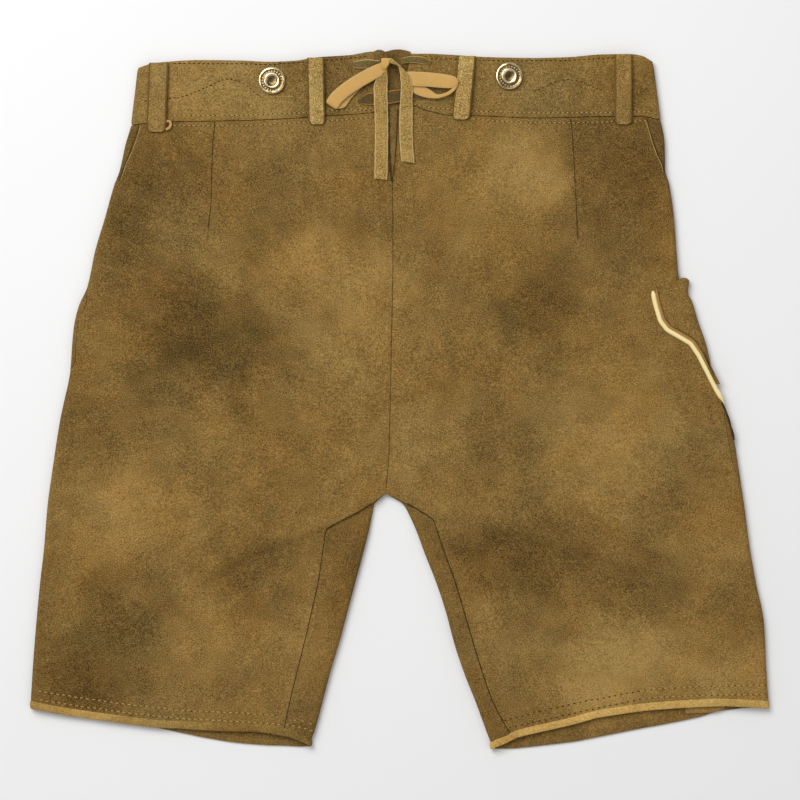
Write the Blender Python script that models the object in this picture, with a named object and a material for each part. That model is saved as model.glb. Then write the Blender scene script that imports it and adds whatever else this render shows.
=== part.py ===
"""Short suede breeches laid flat on their front, seen from the back.

+X is the wearer's right, +Y the waist, +Z up from the surface that the garment lies on.
The body is a flattened tube for each leg: the front panels lie on the surface, the back
panels lie on them, and both turn over in a soft fold down each side and each inner leg.
Lengths are millimetres, and MM turns them into metres.
"""

import math

import bmesh
import bpy
import numpy as np

MM = 0.001
SEAM = 0.3  # space left between two pieces that are sewn together
WAIST_SEAM = 0.9  # space below the curved edge of the waistband
HEM_SEAM = 1.2  # space above the curved edge of the hem binding

LEATHER = 1.6  # suede of the panels
BAND = 2.6  # waistband, folded double
FOLD = 6.8  # height of the garment at its side folds
REST = 4.2  # height where the back panels lie on the front ones
BAND_TOP = 6.9  # height of the waistband
SPRING = 26.0  # distance from a fold over which the panels settle on each other
BINDING = 4.2  # width of the hem binding
BINDING_EXTRA = 0.35  # how much the binding stands proud of the panels
CROTCH = (-11.6, -75.2)

LACE_THICK = 1.3
LOOP_THICK = 1.6
POCKET_THICK = 1.4

FLAP_BUTTON_THICK = 2.0
FLAP_BUTTON_INSET = 14.0
FLAP_LIFT = 2.3

LEFT, RIGHT = -1, 1

# Outline of the body down both sides.
SIDES = {
    "y": (262, 246, 226, 204, 184, 172.8, 144, 120, 90.4, 76, 62.4, 47.2, 32, 19.2, 0,
          -15.2, -34.4, -53.6, -84, -120, -144, -180, -216, -246),
    LEFT: (-210, -211.6, -214.6, -220, -224.4, -228.6, -236.8, -244, -250.4, -257, -260.6,
           -262.4, -263.4, -264.6, -268.8, -272, -275.2, -278, -282.2, -285.2, -288, -291.4,
           -294.2, -296),
    RIGHT: (202.6, 204, 208, 212, 212.4, 215.6, 219.6, 221.4, 224, 232, 237, 242.6, 246.6,
            250.8, 258, 264, 268, 271, 275.6, 280.4, 284.6, 291.6, 293.4, 295.4),
}

# How far the edge of the back panel stays in from the outline, where the front shows past it.
SIDE_INSETS = {
    "y": (226, 220, 200, 184, 172.8, 100, 90.4, 76, 62.4, 47.2, 32, 19.2, 0, -15.2, -34.4, -53.6,
          -63.2, -72, -84, -246),
    LEFT: (6.8, 6.8, 5.2, 4.2, 0, 0, 0.4, 5.7, 3.2, 3.4, 3.6, 0.3, 0, 0, 0, 0, 0, 0, 0, 0),
    RIGHT: (11.6, 11.4, 7.4, 2.6, 0, 0, 0, 0, 0, 0, 0, 0, 0.3, 4.2, 5, 4.0, 2.0, 0.6, 0, 0),
}

# Inner edge of each leg, and the inseam, which runs up the back of it to the crotch.
INSIDES = {
    "y": (-76, -80.8, -84, -89.6, -96, -104, -120, -144, -168, -192, -216, -240, -264, -276.8),
    LEFT: (-12.6, -18, -20.8, -21.9, -23.2, -24.8, -28.8, -35.2, -41.6, -48, -55.2, -61.6, -68,
           -73),
    RIGHT: (-9.8, -1, 3.2, 6.4, 9.6, 13.2, 19.2, 28.8, 36.8, 43.2, 51.2, 60.8, 69.6, 74.6),
}
INSEAMS = {
    "y": (-76, -80.8, -84, -89.6, -96, -104, -120, -144, -168, -192, -216, -240, -264, -276.8),
    LEFT: (-13, -19.6, -24.6, -33.4, -46, -58.8, -61.4, -65, -70.2, -75.8, -81.8, -87.6, -92.8,
           -96),
    RIGHT: (-9.2, 0.6, 8, 17.6, 26.4, 29.2, 34.6, 43.4, 50.6, 57.6, 65, 73.4, 86, 93.6),
}

# Centre seam of the seat, from the foot of the lacing slit to the crotch.
CENTRE = {
    "y": (232, 204, 174.4, 116, 54.4, 0, -40.8, -75.2),
    LEFT: (-10.2, -8.2, -6.2, -5.6, -6.7, -7.8, -8.8, -11.6),
    RIGHT: (0.6, -2.8, -6, -5.6, -6.7, -7.8, -8.8, -11.6),
}

# Rows of the body from the waist seam to the hem: height at the side and at the centre or inseam.
ROWS = (
    (222, 229), (204, 208), (188, 189), (172.8, 174), (148, 148), (120, 120), (90.4, 90.4),
    (76, 76), (62.4, 62.4), (47.2, 47.2), (32, 32), (19.2, 19.2), (0, 0), (-15.2, -15.2),
    (-34.4, -36), (-53.6, -56), (-63.2, -75.2), (-72, -80.8), (-80, -84.8), (-88, -90.4),
    (-96, -97.6), (-106, -106), (-120, -122), (-148, -152), (-178, -186), (-208, -220),
    (-232, -246), (-241.5, -271.5),
)
CROTCH_ROW = 16
FOOT_ROW = 7  # row of the front that meets the corner of the flap

# Hems: the drop of the back and front edges below a line from the outer to the inner corner.
HEMS = {
    LEFT: {"across": (0, 0.15, 0.33, 0.43, 0.54, 0.62, 0.72, 0.82, 0.91, 0.97, 1),
           "back": (0, 1.8, 2.1, 2.1, -0.1, -1.2, -3.4, -5.6, -4.9, -1.8, 0),
           "front": (0, 1.7, 1.9, 2.3, 3.8, 5.1, 5.8, 4.8, 2.9, 1.7, 0)},
    RIGHT: {"across": (0, 0.09, 0.17, 0.25, 0.36, 0.47, 0.6, 0.71, 0.8, 0.9, 0.95, 1),
            "back": (0, -3.9, -6.9, -8.6, -10.5, -11.6, -11.2, -8.1, -6.2, -4, -0.3, 2.4),
            "front": (0, -2.6, -2.9, -0.3, 1.5, 2.7, 4.6, 5.9, 5.6, 5.0, 4.1, 2.4)},
}

# Waistband edges along its length.
BANDS = {
    "x": (-216, -209.6, -200, -190.4, -160, -128, -104, -84.8, -65.6, -40, -21.6, -8, 4, 11.2,
          21.6, 40, 68.8, 107.2, 136, 160, 184, 193.6, 200.8, 208.8),
    "top": (265, 265.8, 268.8, 270.2, 272, 271.6, 270.6, 271.4, 274.2, 276, 278.8, 279, 278,
            277, 277, 276.2, 274.4, 273.6, 274.4, 276.4, 276.8, 275.4, 271.4, 268),
    "bottom": (220, 220.8, 221.8, 222.6, 223.2, 223.8, 224.6, 225.6, 227, 228.6, 230.2, 231.4,
               236, 235.4, 231.8, 228, 227.4, 225.8, 226.4, 227, 227.4, 227, 226, 224),
}
# Ends of the waistband at the lacing, at its bottom and top edges.
BAND_ENDS = {LEFT: (-10.4, -21.6), RIGHT: (0.8, 8.8)}
CLOSING_X = 24.0  # where the ends of the waistband meet, over the front flap

FLAP = {LEFT: -84.0, RIGHT: 70.0}  # side edges of the front flap
FLAP_BOTTOM = 68.0
FLAP_TAPER = 8.0
FLAP_ROUND = 16.0

# Soft folds of the back panels: points, height and half width.
FOLDS = (
    (((-19, -81), (-46, -96), (-59, -102), (-86, -109), (-116, -118), (-157, -143)), 1.5, 9.0),
    (((5, -86), (32, -93), (61, -100), (108, -111), (153, -124), (184, -134)), 1.5, 9.0),
)

# Belt loops: side, centre at the top, centre at the bottom, and the height of the bottom.
BELT_LOOPS = (
    ("belt_loop_outer_left", -192.8, -194.8, 214.5, 15.6),
    ("belt_loop_inner_left", -67.6, -66.4, 220.5, 13.4),
    ("belt_loop_inner_right", 53.4, 48.6, 224.5, 14.6),
    ("belt_loop_outer_right", 178.6, 178.6, 220.5, 13.9),
)
SUSPENDER_BUTTONS = (("suspender_button_left", -102.4, 255.2),
                     ("suspender_button_right", 87.2, 258.8))

# Knife pocket rows: x and y on its rear edge, y at the side fold, and how far it gapes there.
KNIFE_POCKET = (
    (203.2, 87.4, 96.5, 7.2),
    (204.4, 80.4, 90, 5.4),
    (206.0, 74.0, 83, 2.4),
    (209.2, 63.6, 72, 1),
    (214.4, 56.8, 62.4, 0.2),
    (222.8, 52.0, 54, 0),
    (233.2, 45.8, 47.2, 0),
    (239.8, 36.0, 36, 0),
    (246.2, 23.4, 24, 0),
    (253.2, 9.6, 10, 0),
    (258.6, 0.4, 1, 0),
)
PIPING_WIDE = 3.4
PIPING_THICK = 1.9
WELT_WIDE = 2.4
WELT_THICK = 1.5


def smooth(stations, values, at):
    """Reads a short table with a curve that never overshoots it."""
    x = np.asarray(stations, float)
    y = np.asarray(values, float)
    if x[0] > x[-1]:
        x, y = x[::-1], y[::-1]
    at = np.clip(np.asarray(at, float), x[0], x[-1])
    step = np.diff(x)
    slope = np.diff(y) / step
    tangent = np.zeros_like(y)
    tangent[0], tangent[-1] = slope[0], slope[-1]
    same = slope[:-1] * slope[1:] > 0
    steep = np.where(same, slope[:-1] + slope[1:], 1.0)
    tangent[1:-1] = np.where(same, 2 * slope[:-1] * slope[1:] / steep, 0.0)
    k = np.clip(np.searchsorted(x, at, side="right") - 1, 0, len(step) - 1)
    t = (at - x[k]) / step[k]
    bend = (1 - t) ** 2
    start = bend * (1 + 2 * t) * y[k] + bend * t * step[k] * tangent[k]
    end = t * t * (3 - 2 * t) * y[k + 1] - t * t * (1 - t) * step[k] * tangent[k + 1]
    return start + end


def ease(t):
    """A smooth step from 0 to 1."""
    t = np.clip(t, 0.0, 1.0)
    return t * t * (3 - 2 * t)


def to_path(x, y, path):
    """Distance from (x, y) to a line through points."""
    nearest = np.full(np.broadcast(x, y).shape, 1e9)
    for (ax, ay), (bx, by) in zip(path, path[1:]):
        span = (bx - ax) ** 2 + (by - ay) ** 2
        t = np.clip(((x - ax) * (bx - ax) + (y - ay) * (by - ay)) / span, 0, 1)
        nearest = np.minimum(nearest, np.hypot(x - ax - t * (bx - ax), y - ay - t * (by - ay)))
    return nearest


def side_x(side, y):
    return smooth(SIDES["y"], SIDES[side], y)


def inside_x(side, y):
    return smooth(INSIDES["y"], INSIDES[side], y)


def inside_height(y):
    """Height of the fold at the inner leg, low at the crotch where four pieces meet."""
    return REST + (FOLD - REST) * ease((CROTCH[1] - y) / 45.0)


def waist_y(x):
    """Bottom edge of the waistband."""
    return smooth(BANDS["x"], BANDS["bottom"], x)


def height(side, x, y):
    """Top of the back panels."""
    x = np.asarray(x, float)
    y = np.asarray(y, float)
    spring = FOLD - REST
    outer = np.exp(-np.maximum(side * (side_x(side, y) - x) - FOLD / 2, 0) / SPRING)
    leg = ease((CROTCH[1] - y) / 6.0)
    half = inside_height(y) / 2
    off = np.maximum(side * (x - inside_x(side, y)) - half, 0)
    inner = leg * np.exp(-off / SPRING) * (inside_height(y) - REST) / spring
    waist = 0.94 * np.exp(-np.maximum(waist_y(x) - y, 0) / 60.0)
    mouth = 0.5 * ease((-200.0 - y) / 60.0)
    z = REST + spring * (1 - (1 - outer) * (1 - inner) * (1 - waist) * (1 - mouth))
    calm = 1 - np.maximum(outer, inner)
    for path, rise, wide in FOLDS:
        z = z + rise * calm * np.exp(-((to_path(x, y, path) / wide) ** 2))
    return z


def around(side, edge, reach, y, radius, offset, turn=1):
    """Points of the flattened tube near one fold.

    reach is the way along the surface from the outermost line, up over the top when positive
    and down under the bottom when negative. offset moves the points off the outer face, and
    turn is -1 for the fold of the inner leg.
    """
    out = side * turn
    quarter = math.pi * radius / 2
    angle = np.clip(reach / radius, -math.pi / 2, math.pi / 2)
    wide = radius + offset
    past = np.maximum(np.abs(reach) - quarter, 0)
    x = edge - out * radius + out * wide * np.cos(angle) - out * past
    curl = radius + wide * np.sin(angle)
    top = height(side, x, y) + offset
    bottom = np.full_like(top, -offset)
    on_top = ease((reach / quarter - 1) / 0.6)
    z = np.where(reach > quarter, curl * (1 - on_top) + top * on_top, curl)
    z = np.where(reach < -quarter, bottom, z)
    return np.stack([x, np.broadcast_to(y, x.shape), z], axis=-1)


def reach_of(inset, radius):
    """Way along the surface that shows as a given distance in from the outline."""
    return inset + (math.pi / 2 - 1) * radius * np.clip(inset / radius, 0, 1)


def faces_of(rows, columns, ring=False):
    """Quads of a grid of points stored row by row."""
    faces = []
    for row in range(rows - 1):
        for column in range(columns if ring else columns - 1):
            a = row * columns + column
            b = row * columns + (column + 1) % columns
            faces.append((a, b, b + columns, a + columns))
    return faces


def solid(name, outer, inner, faces, material):
    """One closed body between the outer and the inner copy of a sheet."""
    count = len(outer)
    rim = {}
    polygons = []
    for face in faces:
        polygons.append(tuple(face))
        polygons.append(tuple(count + corner for corner in reversed(face)))
        for a, b in zip(face, face[1:] + face[:1]):
            if rim.pop((b, a), None) is None:
                rim[(a, b)] = True
    for a, b in rim:
        polygons.append((b, a, a + count, b + count))
    mesh = bpy.data.meshes.new(name)
    points = np.vstack([outer, inner]) * MM
    mesh.from_pydata(points.tolist(), [], polygons)
    return finish(name, mesh, material)


def finish(name, mesh, material):
    """Turns the faces outwards and puts the mesh in the scene as one named object."""
    shape = bmesh.new()
    shape.from_mesh(mesh)
    bmesh.ops.recalc_face_normals(shape, faces=shape.faces)
    if shape.calc_volume(signed=True) < 0:
        bmesh.ops.reverse_faces(shape, faces=shape.faces)
    shape.to_mesh(mesh)
    shape.free()
    mesh.materials.append(material)
    piece = bpy.data.objects.new(name, mesh)
    bpy.context.scene.collection.objects.link(piece)
    return piece


def finish_material(name, colour, roughness, metallic=0.0):
    material = bpy.data.materials.new(name)
    material.use_nodes = True
    shader = material.node_tree.nodes["Principled BSDF"]
    shader.inputs["Base Color"].default_value = (*colour, 1.0)
    shader.inputs["Roughness"].default_value = roughness
    shader.inputs["Metallic"].default_value = metallic
    return material


def seam_reach(side, y):
    """Where the back panel's edge lies, along the surface from the side's outermost line."""
    inset = smooth(SIDE_INSETS["y"], SIDE_INSETS[side], y)
    return reach_of(inset, FOLD / 2)


def row_weight(row):
    """0 above the legs, growing to 1 at the hem."""
    return float(ease((row - CROTCH_ROW) / (len(ROWS) - 1 - CROTCH_ROW)))


def row_y(side, row, x, layer, drop=0.0):
    """Height of a row at x: a line between its two ends that sags towards the hem."""
    outer_y, inner_y = ROWS[row]
    outer = side_x(side, outer_y)
    if row <= CROTCH_ROW:
        inner = smooth(CENTRE["y"], CENTRE[side], inner_y)
    else:
        inner = inside_x(side, inner_y)
    across = np.clip((x - outer) / (inner - outer), 0, 1)
    hem = HEMS[side]
    sag = row_weight(row) * smooth(hem["across"], hem[layer], across)
    return outer_y + (inner_y - outer_y) * across - sag - drop


def inner_end(side, row):
    """End of a back row on the centre seam, or on the inseam below the crotch."""
    y = ROWS[row][1]
    if row <= CROTCH_ROW:
        return float(smooth(CENTRE["y"], CENTRE[side], y))
    for _ in range(6):
        x = float(smooth(INSEAMS["y"], INSEAMS[side], y))
        y = float(row_y(side, row, x, "back"))
    return x


def back_row(side, row, columns, offset):
    """Points of one back row from the side seam over the fold to its inner end."""
    outer_y = ROWS[row][0]
    radius = FOLD / 2
    start = float(seam_reach(side, outer_y)) + SEAM / 2
    edge = float(side_x(side, outer_y))
    bend = np.linspace(start, start + 8.0, columns[0])
    fold = around(side, edge, bend, outer_y, radius, offset)
    last_x = fold[-1, 0]
    end_x = inner_end(side, row) + side * SEAM / 2
    t = np.linspace(0, 1, columns[1] + 1)[1:]
    x = last_x + (end_x - last_x) * t
    y = row_y(side, row, x, "back")
    if row == 0:
        y = waist_y(x) - WAIST_SEAM
        fold[:, 1] = waist_y(fold[:, 0]) - WAIST_SEAM
    z = height(side, x, y) + offset
    z = z - inner_roll(side, x, y, row)
    return np.vstack([fold, np.stack([x, y, z], axis=1)])


def inner_roll(side, x, y, row):
    """How far the top drops where it rolls over the inner leg."""
    if row <= CROTCH_ROW:
        return np.zeros_like(x)
    half = inside_height(y) / 2
    off = np.clip(side * (x - inside_x(side, y)), 0, half)
    return half - np.sqrt(np.maximum(half ** 2 - (half - off) ** 2, 0))


def back_panel(side, name, material):
    columns = (5, 7)
    rows = range(len(ROWS))
    outer = np.vstack([back_row(side, row, columns, 0.0) for row in rows])
    inner = np.vstack([back_row(side, row, columns, -LEATHER) for row in rows])
    return solid(name, outer, inner, faces_of(len(ROWS), sum(columns)), material)


def flap_side(side, y):
    """Side edge of the flap, which narrows towards its foot."""
    down = (waist_y(FLAP[side]) - y) / (waist_y(FLAP[side]) - FLAP_BOTTOM)
    return FLAP[side] - side * FLAP_TAPER * down


def front_inner_end(side, row):
    """End of a front row: on the flap's side, then along its foot, then on the centre seam."""
    y = ROWS[row][1]
    foot_rows = (6, 7, 8)
    corner_y = FLAP_BOTTOM + FLAP_ROUND
    if row < foot_rows[0]:
        return float(flap_side(side, y)), y
    if row == foot_rows[0]:
        return float(flap_side(side, corner_y)), corner_y
    if row == foot_rows[1]:
        return float(flap_side(side, corner_y)) - side * FLAP_ROUND, FLAP_BOTTOM
    if row == foot_rows[2]:
        return float(smooth(CENTRE["y"], CENTRE[side], FLAP_BOTTOM)), FLAP_BOTTOM
    return float(smooth(CENTRE["y"], CENTRE[side], y)), y


def front_row(side, row, columns, offset):
    """Points of one front row from the side seam under to the centre or the inner leg."""
    outer_y, inner_y = ROWS[row]
    radius = FOLD / 2
    start = float(seam_reach(side, outer_y)) - SEAM / 2
    edge = float(side_x(side, outer_y))
    bend = np.linspace(start, -6.4, columns[0])
    fold = around(side, edge, bend, outer_y, radius, offset)
    if row == 0:
        fold[:, 1] = waist_y(fold[:, 0]) - WAIST_SEAM
    t = np.linspace(0, 1, columns[1] + 1)[1:]
    if row <= CROTCH_ROW:
        end_x, end_y = front_inner_end(side, row)
        end_x += side * SEAM / 2
        if row in (7, 8):
            end_y -= SEAM / 2
    else:
        half = float(inside_height(inner_y)) / 2
        end_x = float(inside_x(side, inner_y)) + side * (half + 0.8)
    x = fold[-1, 0] + (end_x - fold[-1, 0]) * t
    if row == FOOT_ROW:
        y = outer_y + (end_y - 0.5 - outer_y) * np.minimum(1.25 * t, 1)
        y[-1] = end_y
    elif row <= CROTCH_ROW:
        y = outer_y + (end_y - outer_y) * t
    else:
        y = row_y(side, row, x, "front")
    if row == 0:
        y = waist_y(x) - WAIST_SEAM
    z = np.full_like(x, -offset)
    return np.vstack([fold, np.stack([x, y, z], axis=1)])


def strip_row(side, row, columns, offset):
    """Points of one row from under the inner leg round its fold to the inseam on top."""
    y = ROWS[row][1]
    half = float(inside_height(y)) / 2
    edge = float(inside_x(side, y))
    inset = max(side * (inner_end(side, row) - edge), 0.2)
    last = float(reach_of(inset, half)) - SEAM / 2
    low = -(math.pi * half / 2)
    turn = np.linspace(low, min(math.pi * half / 2, last), columns[0])
    flat = np.linspace(turn[-1], last, columns[1] + 1)[1:]
    if last <= math.pi * half / 2 + 0.4:
        turn = np.linspace(low, last, sum(columns))
        flat = turn[:0]
    reach = np.concatenate([turn, flat])
    points = around(side, edge, reach, y, half, offset, turn=-1)
    layers = [row_y(side, row, points[:, 0], layer) for layer in ("back", "front")]
    points[:, 1] = np.where(reach > 0, *layers)
    return points


def front_panel(side, name, material):
    """Front panel, with the strip of it that turns up over the inner leg."""
    columns = (6, 7)
    strip = (4, 2)
    rows = len(ROWS)
    across = sum(columns)
    faces = faces_of(rows, across)
    sheets = []
    for offset in (0.0, -LEATHER):
        flat = [front_row(side, row, columns, offset) for row in range(rows)]
        over = [strip_row(side, row, strip, offset) for row in range(CROTCH_ROW + 1, rows)]
        sheets.append(np.vstack(flat + over))
    first = rows * across
    width = sum(strip)
    crotch = CROTCH_ROW * across + across - 1
    for row in range(CROTCH_ROW + 1, rows):
        base = first + (row - CROTCH_ROW - 1) * width
        corner = row * across + across - 1
        above = (row - 1) * across + across - 1
        if row == CROTCH_ROW + 1:
            faces.append((crotch, base, corner))
            for column in range(width - 1):
                faces.append((crotch, base + column + 1, base + column))
        else:
            faces.append((above, base - width, base, corner))
            for column in range(width - 1):
                a = base - width + column
                faces.append((a, a + 1, base + column + 1, base + column))
    return solid(name, sheets[0], sheets[1], faces, material)


def flap_dimple(x, y):
    """How far the flap is pushed up over its two buttons."""
    rise = np.zeros(np.broadcast(x, y).shape)
    for cx, cy in flap_buttons():
        away = np.hypot(x - cx, y - cy)
        rise = np.maximum(rise, FLAP_LIFT * ease((22.0 - away) / 11.0))
    return rise


def flap_buttons():
    """Centres of the buttons at the flap's upper corners."""
    centres = []
    for side in (LEFT, RIGHT):
        x = FLAP[side] - side * FLAP_BUTTON_INSET
        centres.append((x, float(waist_y(x)) - FLAP_BUTTON_INSET))
    return centres


def flap_foot(x, left, right):
    """Lower edge of the flap, with its corners cut off."""
    in_from_edge = np.minimum(x - left, right - x)
    return FLAP_BOTTOM + FLAP_ROUND * np.clip(1 - in_from_edge / FLAP_ROUND, 0, 1)


def front_flap(material):
    """Drop front, flush with the front panels and dished over its two buttons."""
    near = np.array((0, 6, 11, 17, 22, 30))
    width = FLAP[RIGHT] - FLAP[LEFT]
    across = np.concatenate([near, (width / 2,), width - near[::-1]]) / width
    tall = float(waist_y(0.0)) - FLAP_BOTTOM
    down = np.array((0, 4, 9, 14, 19, 24, 30, 60, 100, tall)) / tall
    outer, inner = [], []
    for part in down:
        level = float(waist_y(0.0)) - part * (tall - FLAP_ROUND)
        left = float(flap_side(LEFT, level)) + 2 * SEAM
        right = float(flap_side(RIGHT, level)) - 2 * SEAM
        x = left + (right - left) * across
        top = waist_y(x) - WAIST_SEAM
        y = top + (flap_foot(x, left, right) + 3 * SEAM - top) * part
        rise = flap_dimple(x, y)
        outer.append(np.stack([x, y, rise], axis=1))
        inner.append(np.stack([x, y, rise + LEATHER], axis=1))
    faces = faces_of(len(down), len(across))
    return solid("front_flap", np.vstack(outer), np.vstack(inner), faces, material)


def band_edge(side, up):
    """Outermost x of the waistband at a part of its height."""
    low = side_x(side, 222.0)
    high = side_x(side, 262.0)
    return low + (high - low) * up


def waistband(side, name, material):
    """One half of the waistband: from the lacing over the back, round the side, to the front."""
    ups = np.array((0.0, 0.5, 1.0))
    radius = BAND_TOP / 2
    quarter = math.pi * radius / 2
    outer, inner = [], []
    for up in ups:
        edge = float(band_edge(side, up))
        lace_end = BAND_ENDS[side][0] + (BAND_ENDS[side][1] - BAND_ENDS[side][0]) * up
        back = (edge - side * radius - lace_end) * side
        front = (edge - side * radius - CLOSING_X - side * SEAM / 2) * side
        top = np.linspace(quarter + back, quarter, 10)
        turn = np.linspace(quarter, -quarter, 7)[1:-1]
        under = np.linspace(-quarter, -quarter - front, 8)
        reach = np.concatenate([top, turn, under])
        for offset, sheet in ((0.0, outer), (-BAND, inner)):
            wide = radius + offset
            angle = np.clip(reach / radius, -math.pi / 2, math.pi / 2)
            past = np.maximum(np.abs(reach) - quarter, 0)
            x = edge - side * radius + side * wide * np.cos(angle) - side * past
            z = radius + wide * np.sin(angle)
            low = smooth(BANDS["x"], BANDS["bottom"], x)
            high = smooth(BANDS["x"], BANDS["top"], x)
            dip = np.where(reach < 0, 5.0 * ease((-reach - quarter) / 60.0), 0.0)
            y = low + (high - dip - low) * up
            sheet.append(np.stack([x, y, z], axis=1))
    faces = faces_of(len(ups), len(reach))
    return solid(name, np.vstack(outer), np.vstack(inner), faces, material)


# Gusset behind the lacing: height of each row, of its edges, and the rise of its two folds.
GUSSET = {
    "y": (279.5, 273, 262, 248, 236, 216, 200, 188),
    "edge": (6.4, 6.0, 4.6, 4.2, 4.8, 5.0, 5.0, 4.9),
    "small": (1.8, 1.2, 0, 0, 0.4, 0.2, 0.2, 0),
    "large": (3.4, 2.4, 0.4, 0, 0.4, 0.2, 0.2, 0),
}
GUSSET_THICK = 1.2


def slit_x(side, y):
    """Edge of the opening behind the lacing: the waistband's end, then the panel's edge."""
    bottom_x, top_x = BAND_ENDS[side]
    low = float(waist_y(bottom_x))
    high = float(smooth(BANDS["x"], BANDS["top"], top_x))
    if y < low:
        return float(smooth(CENTRE["y"], CENTRE[side], y))
    return bottom_x + (top_x - bottom_x) * min((y - low) / (high - low), 1.0)


def gusset(material):
    """Soft gusset between the waistband ends, gathered into a small and a large fold."""
    across = np.linspace(0, 1, 11)
    small = np.where(across <= 0.32, np.sin(np.pi * across / 0.32), 0.0)
    large = np.where(across > 0.32, np.sin(np.pi * (across - 0.32) / 0.68), 0.0)
    outer = []
    for k, y in enumerate(GUSSET["y"]):
        left, right = slit_x(LEFT, y), slit_x(RIGHT, y)
        inset = min(3 * SEAM, 0.3 * (right - left))
        x = left + inset + (right - left - 2 * inset) * across
        z = GUSSET["edge"][k] + GUSSET["small"][k] * small + GUSSET["large"][k] * large
        row_y = y + 1.6 * (small + large) * ease((y - 262.0) / 12.0) - 1.0
        outer.append(np.stack([x, row_y, z], axis=1))
    outer = np.vstack(outer)
    inner = outer - np.array((0, 0, GUSSET_THICK))
    faces = faces_of(len(GUSSET["y"]), len(across))
    return solid("back_gusset", outer, inner, faces, material)


def binding(side, name, material):
    """Hem binding, one ring round the mouth of the leg."""
    last = len(ROWS) - 1
    outer_y, inner_y = ROWS[last]
    radius = FOLD / 2
    start = float(side_x(side, outer_y))
    end = float(inside_x(side, inner_y))
    flat = np.linspace(start - side * radius, end + side * radius, 18)
    turn = np.linspace(-math.pi / 2, math.pi / 2, 6)[1:-1]
    outer, inner = [], []
    for step in (0, 1):
        drop = HEM_SEAM + BINDING * step
        for offset, sheet in ((BINDING_EXTRA, outer), (-LEATHER, inner)):
            wide = radius + offset
            down_x = end + side * radius - side * wide * np.cos(turn)
            up_x = start - side * radius + side * wide * np.cos(turn)
            x = np.concatenate([flat, down_x, flat[::-1], up_x])
            back = row_y(side, last, x, "back", drop)
            front = row_y(side, last, x, "front", drop)
            y = np.where(np.arange(len(x)) < len(flat), back, front)
            over_z = height(side, flat, back[:len(flat)]) + offset
            over_z[0] = over_z[-1] = 2 * radius + offset
            under_z = np.full(len(flat), max(-offset, 0.0))
            curl_z = wide * np.sin(turn)
            z = np.concatenate([over_z, radius - curl_z, under_z, radius + curl_z])
            sheet.append(np.stack([x, y, np.maximum(z, 0.0)], axis=1))
    faces = faces_of(2, len(outer[0]), ring=True)
    return solid(name, np.vstack(outer), np.vstack(inner), faces, material)


def pocket_y(x, row_x, y, side_y, edge):
    """Height of a point on a row that runs from the pocket's rear edge to the side fold."""
    return y + (side_y - y) * np.clip((x - row_x) / max(edge - row_x, 1.0), 0, 1)


def pocket_row(row, rear, lift):
    """One row of the pocket's panel, from its rear edge round the side fold to its underside.

    Where the rear edge lies past the flat of the leg, the whole row starts on the fold.
    """
    row_x, y, side_y, gape = row
    start = row_x + rear
    radius = FOLD / 2
    edge = float(side_x(RIGHT, side_y))
    last_x = edge - radius + gape * 0.6
    if start < last_x:
        flat = np.linspace(0, 1, 6)
        turn = np.array((60, 30, 5, -16, -32))
    else:
        flat = np.zeros(0)
        along = min((start + 0.5 - edge + radius) / (radius + SEAM), 0.99)
        first = max(math.degrees(math.acos(along)), 42.0)
        head = np.linspace(first, first - 14, 6)
        turn = np.concatenate([head, (min(60, first - 18), min(30, first - 24), 5, -16, -32)])
    turn = np.radians(turn)
    px = start + (last_x - start) * flat
    pz = height(RIGHT, px, pocket_y(px, row_x, y, side_y, edge)) + lift
    if len(flat):
        pz[-1] = 2 * radius + lift
    px = np.concatenate([px, edge - radius + gape + (radius + lift) * np.cos(turn)])
    pz = np.concatenate([pz, radius + (radius + lift) * np.sin(turn)])
    return np.stack([px, pocket_y(px, row_x, y, side_y, edge), pz], axis=1)


def pocket_strip_row(row, rear, width, lift):
    """One row of the piping or the welt, straight across its width."""
    row_x, y, side_y, _ = row
    edge = float(side_x(RIGHT, side_y))
    px = np.array((row_x + rear, row_x + rear + width))
    py = pocket_y(px, row_x, y, side_y, edge)
    pz = height(RIGHT, np.minimum(px, edge - FOLD / 2), py) + lift
    return np.stack([px, py, pz], axis=1)


def pocket_sheet(name, rear, width, offset, thick, material):
    """A strip or panel of the knife pocket, laid on the back panel.

    rear is how far it starts from the pocket's rear edge, and width its width, or None for a
    panel that runs on round the side fold.
    """
    sheets = []
    for lift in (offset + thick, offset):
        if width is None:
            points = [pocket_row(row, rear, lift) for row in KNIFE_POCKET]
        else:
            points = [pocket_strip_row(row, rear, width, lift) for row in KNIFE_POCKET]
        sheets.append(np.vstack(points))
    faces = faces_of(len(KNIFE_POCKET), len(points[0]))
    return solid(name, sheets[0], sheets[1], faces, material)


def ribbon(name, path, thick, material):
    """A flat strap along a path of rows: x, y, z, width, aim of its width and tilt in degrees."""
    rows = np.array(path, float)
    centre = rows[:, :3]
    half = rows[:, 3:4] / 2
    aim = np.radians(rows[:, 4])
    tilt = np.radians(rows[:, 5])
    wide = np.stack([np.cos(aim) * np.cos(tilt), np.sin(aim) * np.cos(tilt), np.sin(tilt)], axis=1)
    along = np.gradient(centre, axis=0)
    up = np.cross(along, wide)
    up /= np.linalg.norm(up, axis=1)[:, None]
    corners = [centre + wide * half * a + up * thick / 2 * b
               for a, b in ((-1, 1), (1, 1), (1, -1), (-1, -1))]
    points = np.stack(corners, axis=1).reshape(-1, 3) * MM
    polygons = [(3, 2, 1, 0)]
    for row in range(len(rows) - 1):
        for corner in range(4):
            a = row * 4 + corner
            b = row * 4 + (corner + 1) % 4
            polygons.append((a, b, b + 4, a + 4))
    last = 4 * (len(rows) - 1)
    polygons.append((last, last + 1, last + 2, last + 3))
    mesh = bpy.data.meshes.new(name)
    mesh.from_pydata(points.tolist(), [], polygons)
    return finish(name, mesh, material)


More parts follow.
